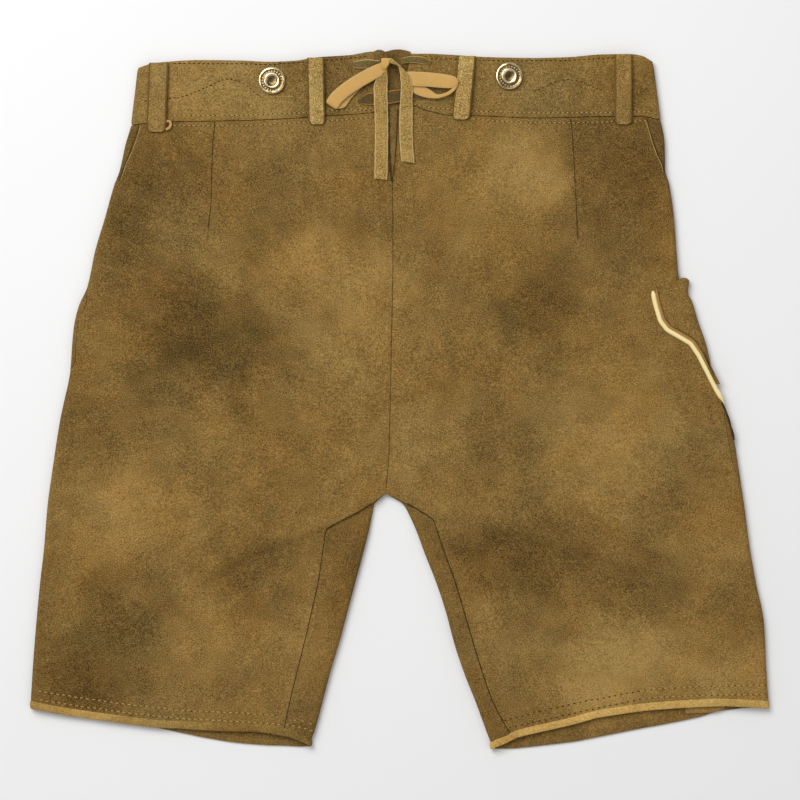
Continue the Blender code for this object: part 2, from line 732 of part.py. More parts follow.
def belt_loop(name, top_x, bottom_x, bottom_y, width, material):
    """A strap sewn at both ends that stands clear of the waistband between them."""
    top_y = float(smooth(BANDS["x"], BANDS["top"], top_x)) - 0.5
    ground = BAND_TOP + SEAM + LOOP_THICK / 2
    profile = ((0, 0), (0.07, 0.9), (0.2, 1.9), (0.4, 2.5), (0.65, 2.6), (0.85, 1.9), (0.95, 1.0),
               (1, 0.2))
    path = []
    for part, rise in profile:
        x = top_x + (bottom_x - top_x) * part
        y = top_y + (bottom_y - top_y) * part
        path.append((x, y, ground + rise, width, 180, 0))
    return ribbon(name, path, LOOP_THICK, material)


def turned(name, x, y, z, profile, steps, material):
    """A round piece from a profile of radius and height, from its underside up to its middle."""
    points = []
    for radius, rise in profile:
        for k in range(steps):
            angle = 2 * math.pi * k / steps
            points.append((x + radius * math.cos(angle), y + radius * math.sin(angle), z + rise))
    polygons = [tuple(range(steps))[::-1]]
    for face in faces_of(len(profile), steps, ring=True):
        polygons.append(face)
    polygons.append(tuple((len(profile) - 1) * steps + k for k in range(steps)))
    mesh = bpy.data.meshes.new(name)
    mesh.from_pydata([tuple(v * MM for v in point) for point in points], [], polygons)
    return finish(name, mesh, material)


# Lacing. Each row: x, y, z, width, aim of the width and tilt in degrees.
LACE_BASE = BAND_TOP + SEAM + LACE_THICK / 2
LACE_CROSSING_LOWER = (
    (-33.5, 238.6, LACE_BASE, 2.4, 90, 0),
    (-30, 239.6, LACE_BASE, 6, 92, 0),
    (-25, 240.6, LACE_BASE, 9.4, 94, 0),
    (-12, 241.6, LACE_BASE, 10.4, 95, 0),
    (2, 243.4, LACE_BASE, 10, 96, 0),
    (12, 243.6, LACE_BASE, 7, 92, 0),
    (19.6, 241.6, LACE_BASE, 2.6, 85, 0),
)
LACE_CROSSING_UPPER_LEFT = (
    (-16, 268.4, LACE_BASE + 0.8, 6, 100, 0),
    (-26, 268.6, LACE_BASE + 0.4, 7.2, 94, 0),
    (-34, 268.2, LACE_BASE, 6, 86, 0),
    (-39.5, 268.6, LACE_BASE, 2.4, 80, 0),
)
LACE_CROSSING_UPPER_RIGHT = (
    (1.2, 271, LACE_BASE + 1.4, 4.4, 88, 0),
    (10, 272.2, LACE_BASE + 0.4, 5.4, 92, 0),
    (18, 271.4, LACE_BASE, 5.6, 84, 0),
    (24.6, 269.4, LACE_BASE, 2.8, 70, 0),
)
KNOT_HEIGHT = 12.2
LACE_LOOP_LEFT = (
    (-16.2, 263.6, KNOT_HEIGHT, 9.6, 118, 0),
    (-24, 259.6, KNOT_HEIGHT, 10.6, 118, 0),
    (-35, 253.4, KNOT_HEIGHT - 0.3, 10.8, 121, 0),
    (-45, 246.4, KNOT_HEIGHT - 0.7, 10.8, 127, 0),
    (-51.4, 239.8, KNOT_HEIGHT - 1.0, 10.8, 134, 0),
    (-53.6, 237.0, KNOT_HEIGHT - 2.4, 10.8, 132, 0),
    (-50.4, 239.2, KNOT_HEIGHT - 3.6, 10.8, 130, 0),
    (-44, 246.0, KNOT_HEIGHT - 3.7, 10.8, 125, 0),
    (-30, 255.6, KNOT_HEIGHT - 3.2, 8, 121, 0),
    (-19, 261.6, KNOT_HEIGHT - 2.2, 5, 118, 0),
)
LACE_LOOP_RIGHT = (
    (10.8, 256.4, KNOT_HEIGHT - 0.2, 11.4, 90, 0),
    (22, 255.6, KNOT_HEIGHT - 0.4, 11.2, 88, 0),
    (33, 254.6, KNOT_HEIGHT - 0.6, 11, 86, 0),
    (38.6, 253.4, KNOT_HEIGHT - 0.8, 9.4, 86, 0),
    (41.4, 251.4, KNOT_HEIGHT - 1.3, 6.4, 86, 0),
    (42.4, 249.6, KNOT_HEIGHT - 2.4, 5.0, 86, 0),
    (40.8, 247.8, KNOT_HEIGHT - 3.5, 4.2, 86, 0),
    (37, 245.6, KNOT_HEIGHT - 3.6, 4.4, 86, 0),
    (31, 244.8, KNOT_HEIGHT - 3.4, 5.4, 84, 0),
    (22, 246.6, KNOT_HEIGHT - 3.2, 8, 80, 0),
    (12.4, 250.6, KNOT_HEIGHT - 3.0, 7, 76, 0),
)
LACE_END_LEFT = (
    (-14.4, 255.6, 10.6, 9.4, 170, 0),
    (-15.6, 250, 10.0, 11, 178, 0),
    (-15.4, 240, 9.5, 11, 182, 0),
    (-14.9, 228, 8.4, 10.8, 180, 0),
    (-14.7, 216, 7.7, 10.6, 180, 0),
    (-14.9, 204, 7.2, 10.6, 180, 0),
    (-15.1, 190, 6.8, 10.6, 180, 0),
    (-15.4, 176.6, 6.4, 10.4, 175, 0),
)
LACE_END_RIGHT = (
    (2.6, 262.4, 13.0, 6.4, 160, 0),
    (4.4, 257.4, 12.9, 8.4, 172, 0),
    (5.4, 248, 11.6, 9.4, 180, 0),
    (5.0, 238, 9.6, 10.0, 184, 0),
    (4.8, 225.6, 8.4, 10.8, 180, 0),
    (4.8, 214.4, 7.7, 10.6, 180, 0),
    (5.4, 200.8, 7.2, 10.6, 178, 0),
    (6.4, 190.2, 6.9, 10.8, 170, 0),
)
LACE_KNOT = (
    (-11.8, 274.6, KNOT_HEIGHT - 3.6, 6.4, 180, 0),
    (-11.8, 274.0, KNOT_HEIGHT + 1.0, 6.4, 180, 0),
    (-11.8, 271.6, KNOT_HEIGHT + 2.2, 6.6, 180, 0),
    (-12.0, 266.0, KNOT_HEIGHT + 2.1, 5.6, 180, 0),
    (-12.2, 262.6, KNOT_HEIGHT + 1.4, 4.0, 180, 0),
    (-12.3, 260.4, KNOT_HEIGHT - 0.4, 3.0, 180, 0),
)

# Tab sewn inside the right hem, which shows past the back edge of the mouth.
HEM_TAB_THICK = 1.2
HEM_TAB = (
    (228.4, -245.4, 2.6, 11.4, 90, 0),
    (240, -244.8, 2.6, 12, 90, 0),
    (251, -244.4, 2.6, 11.6, 90, 0),
    (259.6, -243.4, 2.6, 9, 96, 0),
)

SUSPENDER_BUTTON = (
    (2.6, 0), (2.6, 1.4), (9.2, 1.5), (10.4, 1.9), (10.8, 2.6), (10.4, 3.3), (9.4, 3.6),
    (8.2, 3.3), (6.6, 3.4), (6.2, 3.9), (5.4, 4.1), (4.4, 3.8), (3.4, 3.3), (1.6, 3.1),
)
FLAP_BUTTON = (
    (7.4, 0), (8.3, 0.3), (8.5, 1), (8.3, 1.7), (7.4, FLAP_BUTTON_THICK), (4, 1.9), (3, 1.5),
)


def main():
    for old in list(bpy.data.objects):
        bpy.data.objects.remove(old, do_unlink=True)
    suede = finish_material("olive_suede", (0.24, 0.145, 0.045), 0.95)
    inside = finish_material("gusset_leather", (0.27, 0.17, 0.06), 0.9)
    grain = finish_material("lace_leather", (0.62, 0.36, 0.12), 0.75)
    cream = finish_material("piping_leather", (0.88, 0.72, 0.34), 0.6)
    welt = finish_material("welt_leather", (0.5, 0.22, 0.05), 0.7)
    trim = finish_material("binding_leather", (0.42, 0.25, 0.07), 0.85)
    brass = finish_material("button_metal", (0.75, 0.66, 0.46), 0.25, 1.0)
    horn = finish_material("horn", (0.3, 0.2, 0.11), 0.45)

    for side, word in ((LEFT, "left"), (RIGHT, "right")):
        waistband(side, "waistband_" + word, suede)
        back_panel(side, "back_" + word, suede)
        front_panel(side, "front_" + word, suede)
        binding(side, "hem_binding_" + word, trim)
    front_flap(suede)
    for word, (x, y) in zip(("left", "right"), flap_buttons()):
        turned("flap_button_" + word, x, y, 0.02, FLAP_BUTTON, 20, horn)
    gusset(inside)

    for name, top_x, bottom_x, bottom_y, width in BELT_LOOPS:
        belt_loop(name, top_x, bottom_x, bottom_y, width, suede)
    for name, x, y in SUSPENDER_BUTTONS:
        turned(name, x, y, BAND_TOP + SEAM, SUSPENDER_BUTTON, 24, brass)

    pocket_sheet("knife_pocket_piping", 0, PIPING_WIDE, SEAM, PIPING_THICK, cream)
    pocket_sheet("knife_pocket_welt", PIPING_WIDE + SEAM, WELT_WIDE, SEAM, WELT_THICK, welt)
    start = PIPING_WIDE + WELT_WIDE + 2 * SEAM
    pocket_sheet("knife_pocket", start, None, SEAM, POCKET_THICK, suede)
    ribbon("hem_tab_right", HEM_TAB, HEM_TAB_THICK, trim)

    laces = (
        ("lace_crossing_lower", LACE_CROSSING_LOWER, suede),
        ("lace_crossing_upper_left", LACE_CROSSING_UPPER_LEFT, suede),
        ("lace_crossing_upper_right", LACE_CROSSING_UPPER_RIGHT, suede),
        ("lace_loop_left", LACE_LOOP_LEFT, grain),
        ("lace_loop_right", LACE_LOOP_RIGHT, grain),
        ("lace_end_left", LACE_END_LEFT, suede),
        ("lace_end_right", LACE_END_RIGHT, suede),
        ("lace_knot", LACE_KNOT, grain),
    )
    for name, path, material in laces:
        ribbon(name, path, LACE_THICK, material)


main()
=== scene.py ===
"""Finished look of short suede lederhosen that lie flat on their front.

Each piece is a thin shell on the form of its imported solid, in the same frame: +X to the wearer's
right, +Y to the waist, +Z up. Lengths are millimetres, and MM turns them into metres.
"""

import math
import random

import bmesh
import bpy
import numpy as np
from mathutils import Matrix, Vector


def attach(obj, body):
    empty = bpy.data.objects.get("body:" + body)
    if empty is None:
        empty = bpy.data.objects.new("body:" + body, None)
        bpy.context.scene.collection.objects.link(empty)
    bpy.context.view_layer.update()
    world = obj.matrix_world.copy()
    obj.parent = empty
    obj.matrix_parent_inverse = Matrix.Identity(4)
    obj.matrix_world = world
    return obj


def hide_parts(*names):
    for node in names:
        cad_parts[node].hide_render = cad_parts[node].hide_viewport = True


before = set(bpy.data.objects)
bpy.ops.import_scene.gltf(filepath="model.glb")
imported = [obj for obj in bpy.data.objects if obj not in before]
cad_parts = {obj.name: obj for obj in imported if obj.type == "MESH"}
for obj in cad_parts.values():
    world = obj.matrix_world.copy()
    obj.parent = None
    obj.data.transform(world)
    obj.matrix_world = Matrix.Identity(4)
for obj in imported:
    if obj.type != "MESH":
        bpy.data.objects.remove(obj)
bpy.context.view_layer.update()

bl_info = {
    "name": "Lederhosen Laid Flat",
    "version": (1, 0, 0),
    "blender": (4, 5, 0),
    "location": "View3D > Sidebar > Lederhosen",
    "description": "Builds the panels, waistband, lacing, pocket, buttons and stitching",
    "category": "Object",
}

MM = 0.001
SEAM = 0.3  # space left between two pieces that are sewn together
WAIST_SEAM = 0.6  # space below the curved edge of the waistband
HEM_SEAM = 0.4  # space above the hem binding

LEATHER = 1.6  # suede of the panels
BAND = 2.6  # waistband, folded double
FOLD = 6.8  # height of the garment at its side folds
REST = 4.2  # height where the back panels lie on the front ones
BAND_TOP = 6.9  # height of the waistband
SPRING = 26.0  # distance from a fold over which the panels settle on each other
BINDING = 4.2  # width of the hem binding
BINDING_OVERLAP = 1.1  # how far the finished binding reaches up over the panel
BINDING_SPARE = 1.9  # how much wider the finished binding is
BINDING_EXTRA = 0.35  # how much the binding stands proud of the panels
CROTCH = (-11.6, -75.2)

LACE_THICK = 1.3
LOOP_THICK = 1.6
POCKET_THICK = 1.4

FLAP_BUTTON_THICK = 2.0
FLAP_BUTTON_INSET = 14.0
FLAP_LIFT = 2.3

LEFT, RIGHT = -1, 1

# Outline of the body down both sides.
SIDES = {
    "y": (262, 246, 226, 204, 184, 172.8, 144, 120, 90.4, 76, 62.4, 47.2, 32, 19.2, 0,
          -15.2, -34.4, -53.6, -84, -120, -144, -180, -216, -246),
    LEFT: (-210, -211.6, -214.6, -220, -224.4, -228.6, -236.8, -244, -250.4, -257, -260.6,
           -262.4, -263.4, -264.6, -268.8, -272, -275.2, -278, -282.2, -285.2, -288, -291.4,
           -294.2, -296),
    RIGHT: (202.6, 204, 208, 212, 212.4, 215.6, 219.6, 221.4, 224, 232, 237, 242.6, 246.6,
            250.8, 258, 264, 268, 271, 275.6, 280.4, 284.6, 291.6, 293.4, 295.4),
}

# How far the edge of the back panel stays in from the outline, where the front shows past it.
SIDE_INSETS = {
    "y": (226, 220, 200, 184, 172.8, 100, 90.4, 76, 62.4, 47.2, 32, 19.2, 0, -15.2, -34.4, -53.6,
          -63.2, -72, -84, -246),
    LEFT: (6.8, 6.8, 5.2, 4.2, 0, 0, 0.4, 5.7, 3.2, 3.4, 3.6, 0.3, 0, 0, 0, 0, 0, 0, 0, 0),
    RIGHT: (11.6, 11.4, 7.4, 2.6, 0, 0, 0, 0, 0, 0, 0, 0, 0.3, 4.2, 5, 4.0, 2.0, 0.6, 0, 0),
}

# Inner edge of each leg, and the inseam, which runs up the back of it to the crotch.
INSIDES = {
    "y": (-76, -80.8, -84, -89.6, -96, -104, -120, -144, -168, -192, -216, -240, -264, -276.8),
    LEFT: (-12.6, -18, -20.8, -21.9, -23.2, -24.8, -28.8, -35.2, -41.6, -48, -55.2, -61.6, -68,
           -73),
    RIGHT: (-9.8, -1, 3.2, 6.4, 9.6, 13.2, 19.2, 28.8, 36.8, 43.2, 51.2, 60.8, 69.6, 74.6),
}
INSEAMS = {
    "y": (-76, -80.8, -84, -89.6, -96, -104, -120, -144, -168, -192, -216, -240, -264, -276.8),
    LEFT: (-13, -19.6, -24.6, -33.4, -46, -58.8, -61.4, -65, -70.2, -75.8, -81.8, -87.6, -92.8,
           -96),
    RIGHT: (-9.2, 0.6, 8, 17.6, 26.4, 29.2, 34.6, 43.4, 50.6, 57.6, 65, 73.4, 86, 93.6),
}

# Centre seam of the seat, from the foot of the lacing slit to the crotch.
CENTRE = {
    "y": (232, 204, 174.4, 116, 54.4, 0, -40.8, -75.2),
    LEFT: (-10.2, -8.2, -6.2, -5.6, -6.7, -7.8, -8.8, -11.6),
    RIGHT: (0.6, -2.8, -6, -5.6, -6.7, -7.8, -8.8, -11.6),
}

# Rows of the body from the waist seam to the hem: height at the side and at the centre or inseam.
ROWS = (
    (222, 229), (204, 208), (188, 189), (172.8, 174), (148, 148), (120, 120), (90.4, 90.4),
    (76, 76), (62.4, 62.4), (47.2, 47.2), (32, 32), (19.2, 19.2), (0, 0), (-15.2, -15.2),
    (-34.4, -36), (-53.6, -56), (-63.2, -75.2), (-72, -80.8), (-80, -84.8), (-88, -90.4),
    (-96, -97.6), (-106, -106), (-120, -122), (-148, -152), (-178, -186), (-208, -220),
    (-232, -246), (-241.5, -271.5),
)
CROTCH_ROW = 16
FOOT_ROW = 7  # row of the front that meets the corner of the flap

# Hems: the drop of the back and front edges below a line from the outer to the inner corner.
HEMS = {
    LEFT: {"across": (0, 0.15, 0.33, 0.43, 0.54, 0.62, 0.72, 0.82, 0.91, 0.97, 1),
           "back": (0, 1.8, 2.1, 2.1, -0.1, -1.2, -3.4, -5.6, -4.9, -1.8, 0),
           "front": (0, 1.7, 1.9, 2.3, 3.8, 5.1, 5.8, 4.8, 2.9, 1.7, 0)},
    RIGHT: {"across": (0, 0.09, 0.17, 0.25, 0.36, 0.47, 0.6, 0.71, 0.8, 0.9, 0.95, 1),
            "back": (0, -3.9, -6.9, -8.6, -10.5, -11.6, -11.2, -8.1, -6.2, -4, -0.3, 2.4),
            "front": (0, -2.6, -2.9, -0.3, 1.5, 2.7, 4.6, 5.9, 5.6, 5.0, 4.1, 2.4)},
}

# Waistband edges along its length.
BANDS = {
    "x": (-216, -209.6, -200, -190.4, -160, -128, -104, -84.8, -65.6, -40, -21.6, -8, 4, 11.2,
          21.6, 40, 68.8, 107.2, 136, 160, 184, 193.6, 200.8, 208.8),
    "top": (265, 265.8, 268.8, 270.2, 272, 271.6, 270.6, 271.4, 274.2, 276, 278.8, 279, 278,
            277, 277, 276.2, 274.4, 273.6, 274.4, 276.4, 276.8, 275.4, 271.4, 268),
    "bottom": (220, 220.8, 221.8, 222.6, 223.2, 223.8, 224.6, 225.6, 227, 228.6, 230.2, 231.4,
               236, 235.4, 231.8, 228, 227.4, 225.8, 226.4, 227, 227.4, 227, 226, 224),
}
# Ends of the waistband at the lacing, at its bottom and top edges.
BAND_ENDS = {LEFT: (-10.4, -21.6), RIGHT: (0.8, 8.8)}
CLOSING_X = 24.0  # where the ends of the waistband meet, over the front flap

FLAP = {LEFT: -84.0, RIGHT: 70.0}  # side edges of the front flap
FLAP_BOTTOM = 68.0
FLAP_TAPER = 8.0
FLAP_ROUND = 16.0

# Soft folds of the back panels: points, height and half width.
FOLDS = (
    (((-19, -81), (-46, -96), (-59, -102), (-86, -109), (-116, -118), (-157, -143)), 1.5, 9.0),
    (((5, -86), (32, -93), (61, -100), (108, -111), (153, -124), (184, -134)), 1.5, 9.0),
)

# Belt loops: side, centre at the top, centre at the bottom, and the height of the bottom.
BELT_LOOPS = (
    ("belt_loop_outer_left", -192.8, -194.8, 214.5, 15.6),
    ("belt_loop_inner_left", -67.6, -66.4, 220.5, 13.4),
    ("belt_loop_inner_right", 53.4, 48.6, 224.5, 14.6),
    ("belt_loop_outer_right", 178.6, 178.6, 220.5, 13.9),
)
SUSPENDER_BUTTONS = (("suspender_button_left", -102.4, 255.2),
                     ("suspender_button_right", 87.2, 258.8))

# Knife pocket rows: x and y on its rear edge, and y at the side fold.
KNIFE_POCKET = (
    (203.2, 87.4, 96.5), (204.4, 80.4, 90), (206.0, 74.0, 83), (209.2, 63.6, 72),
    (214.4, 56.8, 62.4), (222.8, 52.0, 54), (233.2, 45.8, 47.2), (239.8, 36.0, 36),
    (246.2, 23.4, 24), (253.2, 9.6, 10), (258.6, 0.4, 1),
)
PIPING_TAIL = (260.6, -3.6, -3)
# How far the pocket gapes at the side fold, by height.
POCKET_GAPE = {"y": (62, 72, 83, 90, 94.5, 96.5), "gape": (0.2, 1, 2.8, 9.2, 11.0, 7.4)}
GAPE_LEAN = 0.6  # part of the gape that moves the fold outwards
POCKET_UNDERLAP = 1.9  # how far the panel goes under the welt
POCKET_NARROWING = 3.4  # how far the panel's lower end draws in from the side
POCKET_TUCK = math.radians(32)  # how far past level the panel turns under
POCKET_TAPER = 0.85  # part of the turned edge that the lower end loses
PIPING_WIDE = 3.4
PIPING_THICK = 1.9
WELT_WIDE = 2.4
WELT_THICK = 1.5


def smooth(stations, values, at):
    """Reads a short table with a curve that never overshoots it."""
    x = np.asarray(stations, float)
    y = np.asarray(values, float)
    if x[0] > x[-1]:
        x, y = x[::-1], y[::-1]
    at = np.clip(np.asarray(at, float), x[0], x[-1])
    step = np.diff(x)
    slope = np.diff(y) / step
    tangent = np.zeros_like(y)
    tangent[0], tangent[-1] = slope[0], slope[-1]
    same = slope[:-1] * slope[1:] > 0
    steep = np.where(same, slope[:-1] + slope[1:], 1.0)
    tangent[1:-1] = np.where(same, 2 * slope[:-1] * slope[1:] / steep, 0.0)
    k = np.clip(np.searchsorted(x, at, side="right") - 1, 0, len(step) - 1)
    t = (at - x[k]) / step[k]
    bend = (1 - t) ** 2
    start = bend * (1 + 2 * t) * y[k] + bend * t * step[k] * tangent[k]
    end = t * t * (3 - 2 * t) * y[k + 1] - t * t * (1 - t) * step[k] * tangent[k + 1]
    return start + end


def ease(t):
    """A smooth step from 0 to 1."""
    t = np.clip(t, 0.0, 1.0)
    return t * t * (3 - 2 * t)


def to_path(x, y, path):
    """Distance from (x, y) to a line through points."""
    nearest = np.full(np.broadcast(x, y).shape, 1e9)
    for (ax, ay), (bx, by) in zip(path, path[1:]):
        span = (bx - ax) ** 2 + (by - ay) ** 2
        t = np.clip(((x - ax) * (bx - ax) + (y - ay) * (by - ay)) / span, 0, 1)
        nearest = np.minimum(nearest, np.hypot(x - ax - t * (bx - ax), y - ay - t * (by - ay)))
    return nearest


def side_x(side, y):
    return smooth(SIDES["y"], SIDES[side], y)


def inside_x(side, y):
    return smooth(INSIDES["y"], INSIDES[side], y)


def inside_height(y):
    """Height of the fold at the inner leg, low at the crotch where four pieces meet."""
    return REST + (FOLD - REST) * ease((CROTCH[1] - y) / 45.0)


def waist_y(x):
    """Bottom edge of the waistband."""
    return smooth(BANDS["x"], BANDS["bottom"], x)


def height(side, x, y):
    """Top of the back panels."""
    x = np.asarray(x, float)
    y = np.asarray(y, float)
    spring = FOLD - REST
    outer = np.exp(-np.maximum(side * (side_x(side, y) - x) - FOLD / 2, 0) / SPRING)
    leg = ease((CROTCH[1] - y) / 6.0)
    half = inside_height(y) / 2
    off = np.maximum(side * (x - inside_x(side, y)) - half, 0)
    inner = leg * np.exp(-off / SPRING) * (inside_height(y) - REST) / spring
    waist = 0.94 * np.exp(-np.maximum(waist_y(x) - y, 0) / 60.0)
    mouth = 0.5 * ease((-200.0 - y) / 60.0)
    z = REST + spring * (1 - (1 - outer) * (1 - inner) * (1 - waist) * (1 - mouth))
    calm = 1 - np.maximum(outer, inner)
    for path, rise, wide in FOLDS:
        z = z + rise * calm * np.exp(-((to_path(x, y, path) / wide) ** 2))
    return z


def around(side, edge, reach, y, radius, offset, turn=1):
    """Points of the flattened tube near one fold.

    reach is the way along the surface from the outermost line, up over the top when positive
    and down under the bottom when negative. offset moves the points off the outer face, and
    turn is -1 for the fold of the inner leg.
    """
    out = side * turn
    quarter = math.pi * radius / 2
    angle = np.clip(reach / radius, -math.pi / 2, math.pi / 2)
    wide = radius + offset
    past = np.maximum(np.abs(reach) - quarter, 0)
    x = edge - out * radius + out * wide * np.cos(angle) - out * past
    curl = radius + wide * np.sin(angle)
    top = height(side, x, y) + offset
    bottom = np.full_like(top, -offset)
    on_top = ease((reach / quarter - 1) / 0.6)
    z = np.where(reach > quarter, curl * (1 - on_top) + top * on_top, curl)
    z = np.where(reach < -quarter, bottom, z)
    return np.stack([x, np.broadcast_to(y, x.shape), z], axis=-1)


def reach_of(inset, radius):
    """Way along the surface that shows as a given distance in from the outline."""
    return inset + (math.pi / 2 - 1) * radius * np.clip(inset / radius, 0, 1)


def faces_of(rows, columns, ring=False):
    """Quads of a grid of points stored row by row."""
    faces = []
    for row in range(rows - 1):
        for column in range(columns if ring else columns - 1):
            a = row * columns + column
            b = row * columns + (column + 1) % columns
            faces.append((a, b, b + columns, a + columns))
    return faces


def seam_reach(side, y):
    """Where the back panel's edge lies, along the surface from the side's outermost line."""
    inset = smooth(SIDE_INSETS["y"], SIDE_INSETS[side], y)
    return reach_of(inset, FOLD / 2)


def row_weight(row):
    """0 above the legs, growing to 1 at the hem."""
    return float(ease((row - CROTCH_ROW) / (len(ROWS) - 1 - CROTCH_ROW)))


# Lacing. Each row: x, y, z, width, aim of the width and tilt in degrees.
LACE_BASE = BAND_TOP + SEAM + LACE_THICK / 2
LACE_CROSSING_LOWER = (
    (-33.5, 238.6, LACE_BASE, 2.4, 90, 0),
    (-30, 239.6, LACE_BASE, 6, 92, 0),
    (-25, 240.6, LACE_BASE, 9.4, 94, 0),
    (-12, 241.6, LACE_BASE, 10.4, 95, 0),
    (2, 243.4, LACE_BASE, 10, 96, 0),
    (12, 243.6, LACE_BASE, 7, 92, 0),
    (19.6, 241.6, LACE_BASE, 2.6, 85, 0),
)
LACE_CROSSING_UPPER_LEFT = (
    (-16, 268.4, LACE_BASE + 0.8, 6, 100, 0),
    (-26, 268.6, LACE_BASE + 0.4, 7.2, 94, 0),
    (-34, 268.2, LACE_BASE, 6, 86, 0),
    (-39.5, 268.6, LACE_BASE, 2.4, 80, 0),
)
LACE_CROSSING_UPPER_RIGHT = (
    (1.2, 271, LACE_BASE + 1.4, 4.4, 88, 0),
    (10, 272.2, LACE_BASE + 0.4, 5.4, 92, 0),
    (18, 271.4, LACE_BASE, 5.6, 84, 0),
    (24.6, 269.4, LACE_BASE, 2.8, 70, 0),
)
KNOT_HEIGHT = 12.2
LACE_LOOP_LEFT = (
    (-16.2, 263.6, KNOT_HEIGHT, 9.6, 118, 0),
    (-24, 259.6, KNOT_HEIGHT, 10.6, 118, 0),
    (-35, 253.4, KNOT_HEIGHT - 0.3, 10.8, 121, 0),
    (-45, 246.4, KNOT_HEIGHT - 0.7, 10.8, 127, 0),
    (-51.6, 240.2, KNOT_HEIGHT - 1.0, 10.8, 139, 0),
    (-54.0, 236.6, KNOT_HEIGHT - 1.4, 10.6, 146, 0),
    (-54.9, 235.2, KNOT_HEIGHT - 2.2, 9.2, 146, 0),
    (-53.2, 235.4, KNOT_HEIGHT - 3.2, 9.6, 145, 0),
    (-48.2, 237.4, KNOT_HEIGHT - 3.7, 10.4, 138, 0),
    (-41.8, 244.8, KNOT_HEIGHT - 3.7, 9.6, 125, 0),
    (-30, 255.6, KNOT_HEIGHT - 3.2, 8, 121, 0),
    (-19, 261.6, KNOT_HEIGHT - 2.2, 5, 118, 0),
)
LACE_LOOP_RIGHT = (
    (3.8, 256.8, KNOT_HEIGHT - 1.4, 10.6, 92, 0),
    (10.8, 256.4, KNOT_HEIGHT - 0.6, 11.6, 91, 0),
    (22, 255.8, KNOT_HEIGHT - 0.1, 11.5, 88, 0),
    (33, 254.7, KNOT_HEIGHT + 0.4, 11.2, 86, 0),
    (39.8, 253.9, KNOT_HEIGHT + 0.8, 10.4, 83, 0),
    (43.4, 253.5, KNOT_HEIGHT + 0.9, 8.4, 80, 0),
    (45.5, 253.3, KNOT_HEIGHT + 0.7, 5.0, 78, 0),
    (46.3, 253.3, KNOT_HEIGHT + 0.4, 2.0, 78, 0),
)
# The same loop on its way back, seen on its edge and then from its face.
LACE_LOOP_RETURN = (
    (45.6, 254.2, KNOT_HEIGHT + 0.2, 1.8, -6, 0),
    (45.0, 251.4, KNOT_HEIGHT + 0.4, 2.4, -20, 0),
    (42.4, 247.6, KNOT_HEIGHT + 0.2, 2.8, -42, 0),
    (36.6, 243.9, KNOT_HEIGHT - 0.5, 2.8, -64, 0),
    (30.0, 242.4, KNOT_HEIGHT - 1.3, 3.4, -88, 0),
    (24.0, 244.2, KNOT_HEIGHT - 2.2, 6.4, -108, 0),
    (17.0, 247.0, KNOT_HEIGHT - 2.6, 8.4, -114, 0),
    (8.6, 250.8, KNOT_HEIGHT - 2.8, 8.0, -116, 0),
)
LACE_END_LEFT = (
    (-14.4, 255.6, 10.6, 9.4, 170, 0),
    (-15.6, 250, 10.0, 11, 178, 0),
    (-15.4, 240, 9.5, 11, 182, 0),
    (-14.9, 228, 8.4, 10.8, 180, 0),
    (-14.7, 216, 7.7, 10.6, 180, 0),
    (-14.9, 204, 7.2, 10.6, 180, 0),
    (-15.1, 190, 6.8, 10.6, 180, 0),
    (-15.4, 176.6, 6.4, 10.4, 175, 0),
)
LACE_END_RIGHT = (
    (2.6, 262.4, 13.0, 6.4, 160, 0),
    (4.4, 257.4, 12.9, 8.4, 172, 0),
    (5.4, 248, 11.6, 9.4, 180, 0),
    (5.0, 238, 9.6, 10.0, 184, 0),
    (4.8, 225.6, 8.4, 10.8, 180, 0),
    (4.8, 214.4, 7.7, 10.6, 180, 0),
    (5.4, 200.8, 7.2, 10.6, 178, 0),
    (6.4, 190.2, 6.9, 10.8, 170, 0),
)
LACE_KNOT = (
    (-11.6, 272.6, KNOT_HEIGHT - 3.6, 5.6, 180, 0),
    (-11.6, 272.2, KNOT_HEIGHT + 0.8, 6.0, 180, 0),
    (-11.6, 270.6, KNOT_HEIGHT + 2.1, 6.8, 178, 0),
    (-12.0, 267.4, KNOT_HEIGHT + 2.2, 6.0, 182, 0),
    (-12.5, 264.8, KNOT_HEIGHT + 1.6, 4.2, 186, 0),
    (-12.8, 263.0, KNOT_HEIGHT - 0.2, 2.4, 186, 0),
)

# Short lengths that run from the knot to the loops and the free ends.
KNOT_ARM_LEFT = (
    (-12.2, 264.5, 12.2, 3.4, 176, 0), (-12.8, 261.2, 12.2, 5.2, 174, 0),
    (-13.8, 257.6, 11.5, 7.8, 172, 0), (-14.5, 254.8, 10.7, 9.4, 172, 0),
)
KNOT_ARM_RIGHT = (
    (-12.2, 270.4, 12.6, 3.4, 84, 0), (-8.0, 270.6, 13.3, 4.2, 96, 0),
    (-3.4, 269.0, 13.7, 5.0, 122, 0), (0.2, 265.8, 13.5, 5.8, 145, 0),
    (2.7, 262.0, 13.1, 6.6, 160, 0), (3.6, 259.6, 13.0, 7.6, 168, 0),
)
KNOT_ARM_LOOP = (
    (-12.0, 267.2, 12.1, 6.6, 110, 0), (-14.4, 265.0, 12.3, 8.4, 115, 0),
    (-18, 262.9, 12.3, 9.8, 118, 0), (-22, 260.8, 12.3, 10.4, 118, 0),
)

# Turned-out corner at the foot of the outer left belt loop.
LOOP_CURL = (
    (-187.6, 221.0, 8.6, 1.8, 140, 0), (-186.6, 222.9, 8.8, 2.2, 100, 0),
    (-184.2, 222.6, 8.8, 2.2, 40, 0), (-183.2, 220.2, 8.7, 2.2, -10, 0),
    (-184.4, 217.6, 8.5, 2.2, -45, 0), (-187.2, 216.2, 8.4, 2.0, -70, 0),
)

